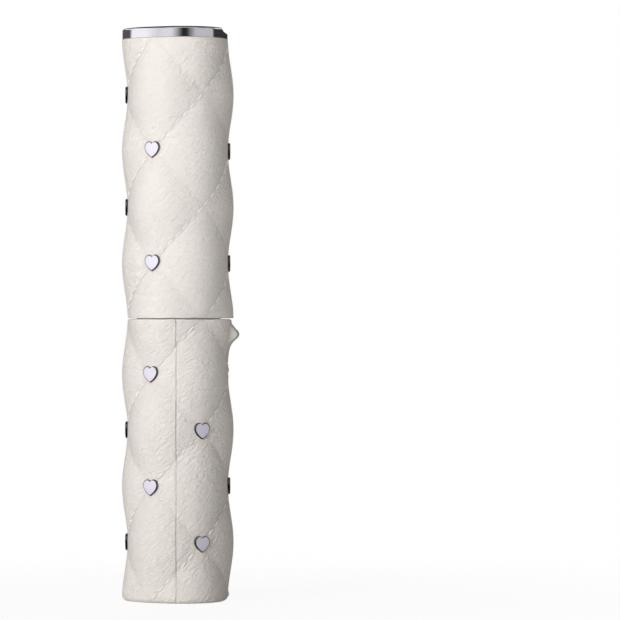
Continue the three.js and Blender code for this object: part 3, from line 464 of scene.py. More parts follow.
paint_highlight_on_upper_edges(black_resin.node_tree)
spring_brass = plate_finish("spring_brass", (0.5, 0.45, 0.3), 0.30, 0.40, 0.2)
paint_spring_highlight_and_shade(spring_brass.node_tree)
print("rubbed:", black_resin.name, spring_brass.name)

# %% [markdown]
# ### Inner pieces
# The cell, the board, the screws and the wires are never seen from outside. They keep their CAD
# solids and get a simple finish each, with a little noise, so that a cut-away view of the model
# is still easy to read.

# %% Dress the CAD solids
def inner_finish(name, dark, light, roughness, metallic=0.0):
    return finish(name, light, roughness, metallic, tint=(0.8, 3, dark, light), relief=(3.0, 3, 0.01, 0.4))

slot_finishes = {
    "nickel": inner_finish("plated_nickel", (0.55, 0.55, 0.53), (0.66, 0.66, 0.64), 0.32, 1.0),
    "board_green": inner_finish("solder_mask_green", (0.012, 0.085, 0.038), (0.020, 0.120, 0.055), 0.40),
    "cell_wrap": inner_finish("cell_wrap_blue", (0.030, 0.150, 0.390), (0.040, 0.180, 0.430), 0.35),
    "tray_grey": inner_finish("tray_resin_grey", (0.080, 0.082, 0.086), (0.100, 0.102, 0.108), 0.60),
    "ceramic": inner_finish("heater_ceramic", (0.72, 0.70, 0.66), (0.80, 0.78, 0.74), 0.70),
    "red_wire": inner_finish("red_wire_sleeve", (0.300, 0.012, 0.014), (0.380, 0.020, 0.022), 0.45),
    "dark_wire": inner_finish("dark_wire_sleeve", (0.012, 0.012, 0.013), (0.020, 0.020, 0.022), 0.45),
    "quilted_ivory": leather, "smooth_ivory": smooth_ivory, "chrome": bright_plate,
    "black_resin": black_resin, "heat_coat": heat_coat, "brass": spring_brass,
}
slot_of = {part["node"]: part["material_slot"] for part in frame["record"]["subparts"]}
for name, node in frame["nodes"].items():
    if not node.material_slots:
        node.data.materials.append(slot_finishes[slot_of[name]])
    for slot in node.material_slots:
        slot.material = slot_finishes[slot_of[name]]
print("dressed", len(slot_of), "CAD solids")

# %% [markdown]
# ## Helpers that make a piece
# Nearly every visible piece is a mesh written point by point in millimetres. One helper turns it
# into a Blender object in metres, shades it smooth except at sharp corners, gives it its
# materials, and ties it to the frame: it rides on a body, and the CAD nodes it replaces are hidden.
# Another closes a stack of rings to a solid, and a third lets several solids share one mesh.

# %% Helpers for pieces
def make_piece(name, shape, body, materials, replaces=(), sharp=35, kinds=None):
    points, faces = shape[:2]
    mesh = bpy.data.meshes.new(name)
    mesh.from_pydata([(x / MM_PER_M, y / MM_PER_M, z / MM_PER_M) for x, y, z in points], [], faces)
    for material in materials:
        mesh.materials.append(material)
    if kinds:
        mesh.polygons.foreach_set("material_index", kinds)
    work = bmesh.new()
    work.from_mesh(mesh)
    bmesh.ops.recalc_face_normals(work, faces=work.faces)
    work.to_mesh(mesh)
    work.free()
    mesh.polygons.foreach_set("use_smooth", [True] * len(mesh.polygons))
    mesh.set_sharp_from_angle(angle=math.radians(sharp))
    piece = bpy.data.objects.new(name, mesh)
    bpy.context.collection.objects.link(piece)
    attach(piece, body)
    if replaces:
        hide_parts(*replaces)
    print(f"{name}: {len(points)} points, {len(faces)} faces")
    return piece

def side_faces(count, rings):
    """The faces between neighbouring rings of count points each."""
    faces = []
    for r in range(rings - 1):
        for k in range(count):
            n = (k + 1) % count
            faces.append((r * count + k, r * count + n, (r + 1) * count + n, (r + 1) * count + k))
    return faces

def stacked_rings(rings):
    """A closed solid through rings of equal count, given as lists of points."""
    count = len(rings[0])
    points = [tuple(p) for ring in rings for p in ring]
    ends = [tuple(reversed(range(count))), tuple(range(len(points) - count, len(points)))]
    return points, ends + side_faces(count, len(rings))

def joined(solids):
    """Points, faces and material indexes of one mesh, from pairs of a solid and its index."""
    points, faces, kinds = [], [], []
    for (more_points, more_faces), kind in solids:
        faces += [tuple(k + len(points) for k in face) for face in more_faces]
        kinds += [kind] * len(more_faces)
        points += more_points
    return points, faces, kinds

def round_inset(distance, radius):
    """How far a rounded edge draws in at this distance from the edge."""
    depth = max(0.0, radius - distance)
    return radius - math.sqrt(max(0.0, radius ** 2 - depth ** 2))

def on_circle(radius, angle, height):
    turn = math.radians(angle)
    return (radius * math.sin(turn), -radius * math.cos(turn), height)

print("an edge of radius 1 mm draws in", round(round_inset(0.5, 1), 3), "mm at half its depth")

# %% [markdown]
# ## The quilting as a formula
# Two families of slanted stitch lines run round the case, three of each. Between them the skin
# swells into diamonds. One product of two sines gives the whole swelling: it is zero on every
# line and highest in the middle of each diamond. On the lines a narrow groove is pressed in,
# deeper on the family that rises to the right, where the stitches are plain to see. The cap is
# pushed on by hand, so its pattern stands a little turned and a little low against the handle's.

# %% Quilt formula
BORE, CREASE, RISE = 14.8, 16.7, 1.85
LINES_ROUND, FIRST_LINE = 3, -30
DIAMOND, DIAMOND_WIDTH, ORIGIN = 37.3, 35.0, 0.8
PHASE_PER_MM = math.hypot(1 / DIAMOND_WIDTH, 1 / DIAMOND)
CAP_TURN, CAP_DROP = 2.2, 0.6
# An amount and its reach in mm, for the lines that rise to the right and for those that fall.
# The grooves are pressed into the skin; the crease amounts are painted shade along the creases.
GROOVES = ((0.19, 0.45), (0.05, 0.5))
PAINTED_CREASE_SHADE_AMOUNTS = ((0.30, 0.5), (0.10, 0.6))

def quilt_phases(angle, height):
    across = (angle - FIRST_LINE) * LINES_ROUND / 360
    up = (height - ORIGIN) / DIAMOND
    return across - up, across + up

def near_lines(angle, height, amounts):
    """Adds up what both families give here. Each amount fades with the distance from its line."""
    total = 0
    for phase, (amount, reach) in zip(quilt_phases(angle, height), amounts):
        distance = abs(phase - round(phase)) / PHASE_PER_MM
        total += amount * math.exp(-(distance / reach) ** 2)
    return total

def quilt_radius(angle, height):
    rising, falling = quilt_phases(angle, height)
    swell = abs(math.sin(math.pi * rising) * math.sin(math.pi * falling))
    return CREASE + RISE * swell

def skin_radius(angle, height):
    return quilt_radius(angle, height) - near_lines(angle, height, GROOVES)

print("radius at a crease", CREASE, "and on a pillow", round(quilt_radius(90, ORIGIN + DIAMOND / 2), 2))

# %% [markdown]
# ## Quilted shells
# A shell is a skin with a wall: an outer grid that follows the formula, an inner grid at the
# bore, and walls wherever a cell is left out. One helper makes both handle halves and the cap.
# The grid has as many columns in a diamond as rows, so each stitch line passes exactly through
# its points and stays crisp. The painted shade of the creases is written on the same points.

# %% Helpers for walled grids
PER_DIAMOND = 72
COLUMNS = LINES_ROUND * PER_DIAMOND
ROW_STEP = DIAMOND / PER_DIAMOND
LEAST_STEP = ROW_STEP * 0.4
ROUND_STEPS = 6

def walled_grid(columns, rows, outer, inner, closed=False, keep=lambda i, j: True):
    """Points and faces of a walled skin. outer and inner give a point, keep says which cells exist."""
    points = [outer(i, j) for j in range(rows) for i in range(columns)]
    points += [inner(i, j) for j in range(rows) for i in range(columns)]
    inside = columns * rows
    last = columns if closed else columns - 1
    kept = {(i, j) for j in range(rows - 1) for i in range(last) if keep(i, j)}
    faces = []
    for i, j in sorted(kept):
        low, high, n = j * columns, (j + 1) * columns, (i + 1) % columns
        a, b, c, d = low + i, low + n, high + n, high + i
        faces.append((a, b, c, d))
        faces.append((a + inside, d + inside, c + inside, b + inside))
        left = ((i - 1) % columns if closed else i - 1, j)
        right = ((i + 1) % columns if closed else i + 1, j)
        for beside, p, q in ((left, d, a), (right, b, c), ((i, j - 1), a, b), ((i, j + 1), c, d)):
            if beside not in kept:
                faces.append((q, p, p + inside, q + inside))
    used = sorted({k for face in faces for k in face})
    place = {k: n for n, k in enumerate(used)}
    return [points[k] for k in used], [tuple(place[k] for k in face) for face in faces], used

def shell_heights(low, high, low_round, high_round):
    ease = [1 - math.cos(math.pi * t / (2 * ROUND_STEPS)) for t in range(ROUND_STEPS + 1)]
    heights = [low + low_round * e for e in ease]
    k = math.ceil((low + low_round + LEAST_STEP - ORIGIN) / ROW_STEP)
    while ORIGIN + k * ROW_STEP < high - high_round - LEAST_STEP:
        heights.append(ORIGIN + k * ROW_STEP)
        k += 1
    return heights + [high - high_round * e for e in reversed(ease)]

def quilted_shell(name, angles, heights, outer, inner, body, replaced, **grid_options):
    columns = len(angles)
    shape = walled_grid(columns, len(heights), outer, inner, **grid_options)
    piece = make_piece(name, shape, body, [leather], [replaced])
    outside = columns * len(heights)
    # Painted shade of the creases, written on the outer points only.
    painted_shade_values = [min(1.0, near_lines(angles[k % columns], heights[k // columns], PAINTED_CREASE_SHADE_AMOUNTS))
             if k < outside else 0 for k in shape[2]]
    values = piece.data.attributes.new("painted_crease_shade", "FLOAT", "POINT")
    values.data.foreach_set("value", painted_shade_values)

print("grid:", COLUMNS, "columns round, a row every", round(ROW_STEP, 3), "mm")

# %% [markdown]
# ### Handle halves
# The handle is moulded in two halves that meet at the front and the back, with a hairline
# between them. The right half has a slot at its rim for the thumb slide. Columns and rows next
# to the seam and the slot are moved onto their exact edges.

# %% Build the handle halves
HANDLE_HIGH, FOOT_ROUND, RIM_ROUND = 93.6, 1.7, 0.7
SEAM_HALF, SEAM_BAND, SEAM_DEPTH = 0.06, 0.2, 0.10
SLIDE_ANGLE, SLOT_HALF, SLOT_HALF_ANGLE, SLOT_LOW = 90, 4.9, 16.6, 78.7
BASE_SEAT, BASE_SEAT_RADIUS = 1.0, 13.9
SLOT_WALL_RADIUS, SLOT_WALL_DROP, SLOT_WALL_ANGLE = 16.0, 5, 24

def handle_half(name, first_angle, replaced):
    count = COLUMNS // 2 + 1
    angles = [first_angle + 180 * i / (count - 1) for i in range(count)]
    heights = shell_heights(0, HANDLE_HIGH, FOOT_ROUND, RIM_ROUND)
    slot_row = min(range(len(heights)), key=lambda j: abs(heights[j] - SLOT_LOW))
    has_slot = first_angle == 0
    if has_slot:
        heights[slot_row] = SLOT_LOW

    def placed(radius, angle, i, j):
        from_slide = abs(angle - SLIDE_ANGLE)
        if i in (0, 1, count - 2, count - 1):
            beside = SEAM_HALF if i in (0, count - 1) else SEAM_HALF + SEAM_BAND
            lean = math.degrees(math.asin(beside / radius))
            angle = first_angle + lean if i < 2 else first_angle + 180 - lean
        elif has_slot and j >= slot_row and abs(from_slide - SLOT_HALF_ANGLE) < 180 / COLUMNS:
            lean = math.degrees(math.asin(SLOT_HALF / radius))
            angle = SLIDE_ANGLE + math.copysign(lean, angle - SLIDE_ANGLE)
        return on_circle(radius, angle, heights[j])

    def outer(i, j):
        angle, height = angles[i], heights[j]
        radius = skin_radius(angle, height)
        radius -= round_inset(height, FOOT_ROUND) + round_inset(HANDLE_HIGH - height, RIM_ROUND)
        if i in (0, count - 1):
            radius -= SEAM_DEPTH
        return placed(radius, angle, i, j)

    def inner(i, j):
        angle, height = angles[i], heights[j]
        radius = BASE_SEAT_RADIUS if height < BASE_SEAT else BORE
        if has_slot and height > SLOT_LOW - SLOT_WALL_DROP and abs(angle - SLIDE_ANGLE) < SLOT_WALL_ANGLE:
            radius = SLOT_WALL_RADIUS
        return placed(radius, angle, i, j)

    def keep(i, j):
        middle = (angles[i] + angles[i + 1]) / 2
        return not (has_slot and j >= slot_row and abs(middle - SLIDE_ANGLE) < SLOT_HALF_ANGLE)

    quilted_shell(name, angles, heights, outer, inner, "handle", replaced, keep=keep)

handle_half("quilted_handle_right", 0, "handle_shell_right")
handle_half("quilted_handle_left", 180, "handle_shell_left")

# %% [markdown]
# ### Cap sleeve
# The cap is one quilted sleeve without a seam. It is written in the pattern's own angles and
# heights, so that its stitch lines stay crisp, and then set down a little turned and a little
# low. Inside its mouth a shallow pocket lets the raised thumb slide in.

# %% Build the cap sleeve
SKIRT_REACH, MOUTH_ROUND, TOP_ROUND = 0.22, 0.35, 0.12
CAP_LOW = round(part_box("cap_shell")[0].z * MM_PER_M - SKIRT_REACH, 2)
CAP_HIGH = round(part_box("cap_shell")[1].z * MM_PER_M, 2)
CROWN_AXIS, POCKET_RADIUS, POCKET_TOP, POCKET_ANGLE = 4.5, 13.55, 95.6, 20

def cap_sleeve():
    angles = [360 * i / COLUMNS for i in range(COLUMNS)]
    heights = shell_heights(CAP_LOW + CAP_DROP, CAP_HIGH + CAP_DROP, MOUTH_ROUND, TOP_ROUND)

    def outer(i, j):
        angle, height = angles[i], heights[j]
        radius = skin_radius(angle, height)
        radius -= round_inset(height - CAP_DROP - CAP_LOW, MOUTH_ROUND)
        radius -= round_inset(CAP_HIGH - height + CAP_DROP, TOP_ROUND)
        return on_circle(radius, angle + CAP_TURN, height - CAP_DROP)

    def inner(i, j):
        angle, height, radius = angles[i] + CAP_TURN, heights[j] - CAP_DROP, BORE
        sideways = BORE * math.sin(math.radians(angle - SLIDE_ANGLE))
        if height < POCKET_TOP and abs(angle - SLIDE_ANGLE) < POCKET_ANGLE:
            radius = math.hypot(CROWN_AXIS + math.sqrt(POCKET_RADIUS ** 2 - sideways ** 2), sideways)
        return on_circle(radius, angle, height)

    quilted_shell("quilted_cap", angles, heights, outer, inner, "cap", "cap_shell", closed=True)

cap_sleeve()

# %% [markdown]
# ## Stitches
# Seven stitches fill each side of a diamond. On the lines that rise to the right they are plain
# little sausages of thread. On the others they lie deeper, in the tone of the leather, and only
# just show. Each one is a short tube along the crease whose ends dip into the skin. A stitch that
# would lie under a stud, on the seam, on a rim or in the slot is left out.

# %% Find the places of studs and stitches
# Each column of studs has an angle and the height of its lowest crossing. Studs of the handle and
# of the cap stand between two heights each, and none stands under the slide.
STUD_COLUMNS = {-90: 19.45, -30: 38.1, 30: 19.45, 90: 38.1, 150: 19.45, 210: 38.1}
STUDS_IN_COLUMN, PLAIN_COLUMN = 6, 30
HANDLE_STUDS, CAP_STUDS, SLIDE_STARTS = (6, 88), (99, 181), 70
STUD_CLEAR, SEAM_CLEAR, RIM_CLEAR, SLOT_CLEAR_SIDE, SLOT_CLEAR_LOW = 3.5, 1.2, 1.8, 6.2, 1.5

def stud_places():
    places = []
    for angle, start in STUD_COLUMNS.items():
        for k in range(STUDS_IN_COLUMN):
            height = start + k * DIAMOND
            under_slide = angle == SLIDE_ANGLE and height > SLIDE_STARTS
            if HANDLE_STUDS[0] < height < HANDLE_STUDS[1] and not under_slide:
                places.append((angle, height, "handle"))
            if CAP_STUDS[0] < height < CAP_STUDS[1] and angle != PLAIN_COLUMN:
                places.append((angle + CAP_TURN, height - CAP_DROP, "cap"))
    return places

STUD_CENTRES = [Vector(on_circle(CREASE, angle, height)) for angle, height, _ in stud_places()]

def free_place(body, point, low, high):
    on_seam = body == "handle" and abs(point.x) < SEAM_CLEAR
    beside_slot = body == "handle" and point.x > 0 and abs(point.y) < SLOT_CLEAR_SIDE
    in_slot = beside_slot and point.z > SLOT_LOW - SLOT_CLEAR_LOW
    at_stud = any((point - centre).length < STUD_CLEAR for centre in STUD_CENTRES)
    return low + RIM_CLEAR < point.z < high - RIM_CLEAR and not (on_seam or in_slot or at_stud)

print("places for studs:", len(STUD_CENTRES))

# %% Sew the stitches
STITCHES_PER_SIDE, DIAMONDS_HIGH = 7, 5.2
DIAMOND_SIDE = math.hypot(DIAMOND_WIDTH, DIAMOND)
STITCH_STATIONS, STITCH_CORNERS = (-1.0, -0.9, -0.6, 0.0, 0.6, 0.9, 1.0), 8
END_DIP, STITCH_FLATNESS, LEAST_SECTION, LITTLE_ON = 0.3, 0.8, 0.02, 0.002
# Direction, length, half thickness and lift of both kinds. The first is thread, the second leather.
STITCH_KINDS = ((1, 2.6, 0.33, 0.31), (-1, 2.2, 0.22, -0.02))

def crease_point(body, direction, line, up, lift):
    angle = (line + direction * up) * (360 // LINES_ROUND) + FIRST_LINE
    height = ORIGIN + up * DIAMOND
    radius = skin_radius(angle, height) + lift
    turn, drop = (CAP_TURN, CAP_DROP) if body == "cap" else (0, 0)
    return Vector(on_circle(radius, angle + turn, height - drop))

def stitch_tube(body, direction, line, up, length, thickness, lift):
    """One stitch: rings along the crease, thinner and lower at both ends."""
    half = length / 2 / DIAMOND_SIDE
    rings = []
    for t in STITCH_STATIONS:
        there = up + t * half
        here = crease_point(body, direction, line, there, lift - END_DIP * t ** 6)
        ahead = crease_point(body, direction, line, there + LITTLE_ON, lift)
        behind = crease_point(body, direction, line, there - LITTLE_ON, lift)
        along = (ahead - behind).normalized()
        out = Vector((here.x, here.y, 0)).normalized()
        beside = along.cross(out).normalized()
        width = thickness * math.sqrt(max(LEAST_SECTION, 1 - abs(t) ** 3))
        turns = [math.tau * k / STITCH_CORNERS for k in range(STITCH_CORNERS)]
        rings.append([here + (beside * math.cos(a) + out * math.sin(a) * STITCH_FLATNESS) * width
                      for a in turns])
    return stacked_rings(rings)

def stitches(body, low, high):
    step = 1 / (2 * STITCHES_PER_SIDE)
    heights = [(n + 0.5) * step for n in range(int(DIAMONDS_HIGH / step))]
    solids = [(stitch_tube(body, direction, line, up, *shape), kind)
              for kind, (direction, *shape) in enumerate(STITCH_KINDS)
              for line in range(LINES_ROUND) for up in heights
              if free_place(body, crease_point(body, direction, line, up, 0), low, high)]
    shape = joined(solids)
    print(len(solids), "stitches on the", body)
    make_piece(f"{body}_stitches", shape, body, [thread, leather], sharp=60, kinds=shape[2])

stitches("handle", 0, HANDLE_HIGH)
stitches("cap", CAP_LOW, CAP_HIGH)

# %% [markdown]
# ## Heart studs
# A bright heart sits on each crossing. Its outline is four curves, the same as in the CAD
# solid, but with many more points. Rings of that outline, each a little smaller and higher,
# build the wall, the rolled rim and the nearly flat face. The rim's dark colour is a painted
# reflection of the dark side of the room.

# %% Build the heart studs
HEART_WIDTH, HEART_HEIGHT, HEART_STEPS, HEART_MIDDLE = 5.65, 5.6, 10, 0.2
# Scale and distance from the axis of each ring, from the root to the face.
HEART_RINGS = ((1.00, 16.45), (1.00, 17.02), (0.985, 17.20), (0.95, 17.33), (0.90, 17.41),
               (0.87, 17.44), (0.84, 17.455), (0.60, 17.48), (0.30, 17.49))
RIM_RINGS, HEART_TOP, STUD_RADIUS = 5, 17.495, 17.4
FACE, RIM = 0, 1

def bezier(p0, p1, p2, p3, steps):
    for t in (k / steps for k in range(steps)):
        s = 1 - t
        yield tuple(s ** 3 * a + 3 * s * s * t * b + 3 * s * t * t * c + t ** 3 * d
                    for a, b, c, d in zip(p0, p1, p2, p3))

def heart_outline():
    w, h = HEART_WIDTH / 2, HEART_HEIGHT / 2
    right = list(bezier((0, -h), (0.36 * w, -0.8 * h), (w, -0.28 * h), (w, 0.28 * h), HEART_STEPS))
    right += bezier((w, 0.28 * h), (w, 0.84 * h), (0.4 * w, 1.27 * h), (0, 0.75 * h), HEART_STEPS)
    return right + [(0, 0.75 * h)] + [(-x, y) for x, y in reversed(right[1:])]

def heart_stud(name, angle, height, body, node):
    outline = heart_outline()
    count, rings = len(outline), len(HEART_RINGS)
    turn = Matrix.Rotation(math.radians(angle), 3, "Z")
    points = [tuple(turn @ Vector((x * scale, -radius, (y - HEART_MIDDLE) * scale + HEART_MIDDLE + height)))
              for scale, radius in HEART_RINGS for x, y in outline]
    points.append(tuple(turn @ Vector((0, -HEART_TOP, HEART_MIDDLE + height))))
    top, summit = (rings - 1) * count, len(points) - 1
    faces = [tuple(range(count))] + side_faces(count, rings)
    faces += [(top + k, top + (k + 1) % count, summit) for k in range(count)]
    kinds = [RIM] * (1 + RIM_RINGS * count) + [FACE] * ((rings - RIM_RINGS) * count)
    make_piece(name, (points, faces), body, [stud_face, stud_rim_reflection], [node], 50, kinds)

stud_nodes = [n for n in frame["nodes"] if "_stud_" in n]
matched = set()
for angle, height, body in stud_places():
    goal = Vector(on_circle(STUD_RADIUS, angle, height)) / MM_PER_M
    node = min(stud_nodes, key=lambda n: (sum(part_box(n), Vector()) / 2 - goal).length)
    matched.add(node)
    heart_stud("heart_" + node, angle, height, body, node)
print(len(matched), "hearts for", len(stud_nodes), "CAD studs")

# %% [markdown]
# ## Bright end of the cap
# A thick plated disc closes the cap. It follows the quilted outline, so it is slightly
# three-cornered. Its upper edge is softly rolled, its lower edge is sharp where it meets the
# sleeve, and a small slanted step is machined off above the thumb slide. The step is cut with a
# boolean, whose cutter already has the small broken corners of the real step.

# %% Build the bright end
COVER_LOW, COVER_HIGH = (corner.z * MM_PER_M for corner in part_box("cap_top_cover"))
COVER_INSET, COVER_SHARP = 0.15, 40
# How far each level lies in from the outline, and how far under the top.
COVER_ROLL = ((0.0, 0.8), (0.06, 0.49), (0.24, 0.24), (0.49, 0.06), (0.8, 0.0))
NOTCH_STEPS = ((-2.60, 0.60), (-2.02, -0.02), (-1.92, -0.15), (-1.36, -1.20), (-1.10, -1.45),
               (0.60, -2.20), (0.60, 0.60))
NOTCH_HALF = 11

def notch_cutter():
    rim = quilt_radius(SLIDE_ANGLE - CAP_TURN, CAP_HIGH + CAP_DROP)
    section = [(rim + out, COVER_HIGH + up) for out, up in NOTCH_STEPS]
    count = len(section)
    points = [(x / MM_PER_M, y / MM_PER_M, z / MM_PER_M)
              for y in (-NOTCH_HALF, NOTCH_HALF) for x, z in section]
    faces = [tuple(range(count)), tuple(reversed(range(count, 2 * count)))]
    faces += [(count + k, count + (k + 1) % count, (k + 1) % count, k) for k in range(count)]
    return flat_mesh("notch_cutter", points, faces)

def bright_end():
    levels = [(0.05, COVER_LOW - 0.25), (0.0, COVER_LOW - 0.2)]
    levels += [(inset, COVER_HIGH - under) for inset, under in COVER_ROLL]
    rings = [[on_circle(quilt_radius(a - CAP_TURN, CAP_HIGH + CAP_DROP) - COVER_INSET - inset, a, z)
              for a in range(0, 360, 2)] for inset, z in levels]
    piece = make_piece("bright_cap_end", stacked_rings(rings), "cap", [bright_plate],
                       ["cap_top_cover"], COVER_SHARP)
    cutter = notch_cutter()
    cut = piece.modifiers.new("notch", "BOOLEAN")
    cut.object = cutter
    cut.operation = "DIFFERENCE"
    cut.solver = "EXACT"
    bpy.context.view_layer.update()
    shaped = bpy.data.meshes.new_from_object(piece.evaluated_get(bpy.context.evaluated_depsgraph_get()))
    piece.modifiers.clear()
    piece.data = shaped
    bpy.data.objects.remove(cutter)
    shaped.set_sharp_from_angle(angle=math.radians(COVER_SHARP))
    print("notch cut:", len(shaped.polygons), "faces")

bright_end()

# %% [markdown]
# ## Thumb slide
# The slide is a small fin: a straight neck at the rim, a nose for the thumb, and a long hollow
# curve that runs out into the quilting. Its side view is a smooth curve through a few points,
# carried across on a large circle, with a soft radius along both sides.

# %% Build the thumb slide
SLIDE_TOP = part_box("thumb_slide")[1].z * MM_PER_M
# Distance from the axis and distance under the top, from the tail up to the neck.
SLIDE_KNOTS = [(16.70, 14.40), (16.80, 12.86), (17.04, 10.78), (17.33, 9.53), (17.90, 8.18), (18.73, 7.15),
               (19.78, 6.20), (20.30, 5.59), (20.50, 4.76), (20.17, 3.92), (19.37, 2.99), (18.50, 1.90),
               (18.00, 1.40), (17.92, 0.80), (17.88, 0.45), (17.76, 0.15), (17.45, 0.0)]
SLIDE_HALF, SLIDE_SIDE_ROUND, SLIDE_BACK, SIDE_BAND = 4.6, 0.5, 15.7, 0.83

def through(knots, steps=4):
    """A smooth curve through all knots, with a few points between each two."""
    curve, last = [], len(knots) - 1
    for k in range(last):
        before, here, there, after = (Vector(knots[min(max(k + n, 0), last)]) for n in (-1, 0, 1, 2))
        for t in (n / steps for n in range(steps)):
            curve.append(0.5 * (2 * here + (there - before) * t
                                + (2 * before - 5 * here + 4 * there - after) * t ** 2
                                + (3 * here - before - 3 * there + after) * t ** 3))
    return curve + [Vector(knots[-1])]

def thumb_slide():
    shape = [(x, SLIDE_TOP - below) for x, below in through(SLIDE_KNOTS)]
    edge = [-SLIDE_HALF + SLIDE_HALF * (1 - math.cos(math.pi * k / 8)) * 0.09 for k in range(5)]
    flat = [-SLIDE_HALF + SIDE_BAND + (2 * SLIDE_HALF - 2 * SIDE_BAND) * k / 10 for k in range(1, 10)]
    across = edge + flat + [-y for y in reversed(edge)]

    def outer(i, j):
        y, (x, z) = across[i], shape[j]
        bend = (x - CROWN_AXIS) - math.sqrt((x - CROWN_AXIS) ** 2 - y * y)
        return (x - bend - round_inset(SLIDE_HALF - abs(y), SLIDE_SIDE_ROUND), y, z)

    def inner(i, j):
        return (SLIDE_BACK, across[i], shape[j][1])

    fin = walled_grid(len(across), len(shape), outer, inner)
    make_piece("thumb_slide_fin", fin, "thumb_switch", [shaded_slide_ivory], ["thumb_slide"])

thumb_slide()

# %% [markdown]
# ## Collar
# With the cap off, a smooth ivory collar stands in the handle's mouth. It has a flat on the
# teeth's side that keys the cap, slim upright ribs that keep the cap from rattling, and a
# window at the front and the back where a brass spring looks out. It is the walled grid again,
# whose columns at the window are moved onto its edges.

# %% Build the collar
COLLAR_COLUMNS, COLLAR_RADIUS, COLLAR_TOP, KEY_FLAT = 240, 14.25, 101.0, 13.5
WINDOW_HALF, WINDOW_LOW, WINDOW_HIGH, WINDOW_SNAP = 1.45, 94.5, 98.8, 0.19
RIB_MIDDLES = [w + t for w in (0, 180) for t in (9, 54, 126, 171)]
RIB_HEIGHT, RIB_HALF_ANGLE, RIB_FLANK_ANGLE = 0.25, 4.1, 0.9
# Inset and height outside, then radius and height inside. The last six roll over the top edge.
COLLAR_ROWS = [(0.0, z, 12.6, z) for z in (92.0, 93.6, 94.0, WINDOW_LOW, 95.5, 96.6, 97.7, WINDOW_HIGH,
                                           99.8, 100.55)]
COLLAR_ROWS += [(0.03, 100.75, 12.6, 99.3), (0.13, 100.9, 12.4, 99.3), (0.3, 100.98, 12.2, 99.3),
                (0.55, COLLAR_TOP, 12.0, 99.3), (3.0, COLLAR_TOP, 10.0, 99.3), (8.0, COLLAR_TOP, 6.0, 99.3)]

def rib_amount(angle):
    nearest = min(abs((angle - m + 180) % 360 - 180) for m in RIB_MIDDLES)
    return max(0.0, min(1.0, (RIB_HALF_ANGLE - nearest) / RIB_FLANK_ANGLE))

def collar():
    angles = [360 * i / COLLAR_COLUMNS for i in range(COLLAR_COLUMNS)]

    def outer(i, j):
        inset, height, _, _ = COLLAR_ROWS[j]
        radius = COLLAR_RADIUS + RIB_HEIGHT * rib_amount(angles[i]) - inset
        x, y, z = on_circle(radius, angles[i], height)
        x = max(x, inset - KEY_FLAT)
        if height <= WINDOW_HIGH + 0.1 and abs(abs(x) - WINDOW_HALF) < WINDOW_SNAP and abs(y) > 10:
            x = math.copysign(WINDOW_HALF, x)
        return (x, y, z)

    def inner(i, j):
        x, y, z = on_circle(COLLAR_ROWS[j][2], angles[i], COLLAR_ROWS[j][3])
        outside_x = outer(i, j)[0]
        return (outside_x if abs(outside_x) == WINDOW_HALF else x, y, z)

    def keep(i, j):
        x = 14.0 * math.sin(math.radians(angles[i] + 180 / COLLAR_COLUMNS))
        return not (abs(x) < WINDOW_HALF and WINDOW_LOW - 0.01 < COLLAR_ROWS[j][1] < WINDOW_HIGH - 0.01)

    ring = walled_grid(COLLAR_COLUMNS, len(COLLAR_ROWS), outer, inner, True, keep)
    make_piece("collar_ring", ring, "handle", [smooth_ivory], ["collar"], 30)

collar()

# %% [markdown]
# ### Latch springs
# A strip of brass is bent so that its crest looks out of the window, between two lower bumps.
# The strip is drawn from its side view, softened at each bend, and given a width and a thickness.

# %% Build the latch springs
SPRING_MIDDLE = (WINDOW_LOW + WINDOW_HIGH) / 2
SPRING_THICKNESS, SOFT_EDGE, SPRING_FOOT = 0.3, 0.05, 12.3
SPRING_ACROSS = (-1.15, -1.08, 0, 1.08, 1.15)
# Distance from the middle plane and height over the window's middle, between the two feet.
SPRING_BENDS = [(12.3, -2.25), (13.5, -1.95), (13.85, -1.5), (13.9, -1.0), (13.5, -0.85), (13.55, -0.5),
                (14.05, -0.2), (14.2, 0.2), (14.05, 0.5), (13.6, 0.7), (13.6, 0.9), (13.9, 1.15),
                (13.85, 1.5), (13.5, 1.95), (12.3, 2.25)]

def spring_side_view():
    knots = [(SPRING_FOOT, 92.9), *((r, SPRING_MIDDLE + up) for r, up in SPRING_BENDS), (SPRING_FOOT, 99.1)]
    return [(r0 + (r1 - r0) * t, z0 + (z1 - z0) * t)
            for (r0, z0), (r1, z1) in zip(knots, knots[1:]) for t in (0.15, 0.5, 0.85)]

def latch_spring(name, side, node):
    shape = spring_side_view()
    soft = [SOFT_EDGE, 0.0, 0.0, 0.0, SOFT_EDGE]

    def outer(i, j):
        return (SPRING_ACROSS[i], side * (shape[j][0] - soft[i]), shape[j][1])

    def inner(i, j):
        return (SPRING_ACROSS[i], side * (shape[j][0] - SPRING_THICKNESS + soft[i]), shape[j][1])

    strip = walled_grid(len(SPRING_ACROSS), len(shape), outer, inner)
    make_piece(name, strip, "handle", [spring_brass], [node])

latch_spring("latch_spring_strip_front", -1, "latch_spring_front")
latch_spring("latch_spring_strip_back", 1, "latch_spring_back")

# %% [markdown]
# ## The comb
# The comb is black heat-proof resin: a spine with twenty-nine fins that wrap round it. Each fin
# is a rounded blade. It starts as a blunt tooth on the front row, thickens, runs back along the
# spine, turns round its back as a sharp short spike, and returns as a tooth of the back row.
# One fin is a tube of changing section along that path, and the rest are copies at even steps.

# %% Describe one fin
FIN_COUNT, FIRST_FIN, LAST_FIN = 29, 103.34, 177.57
TOOTH_TIP, SPIKE_TIP = -11.63, 13.6
FIN_HALF, FIN_ROOT, SPINE_BACK, END_ROUND = 6.25, 4.5, 11.35, 1.8
END_START = SPINE_BACK - 2.8
FIN_CORNERS, TURN_STEPS = 12, 7
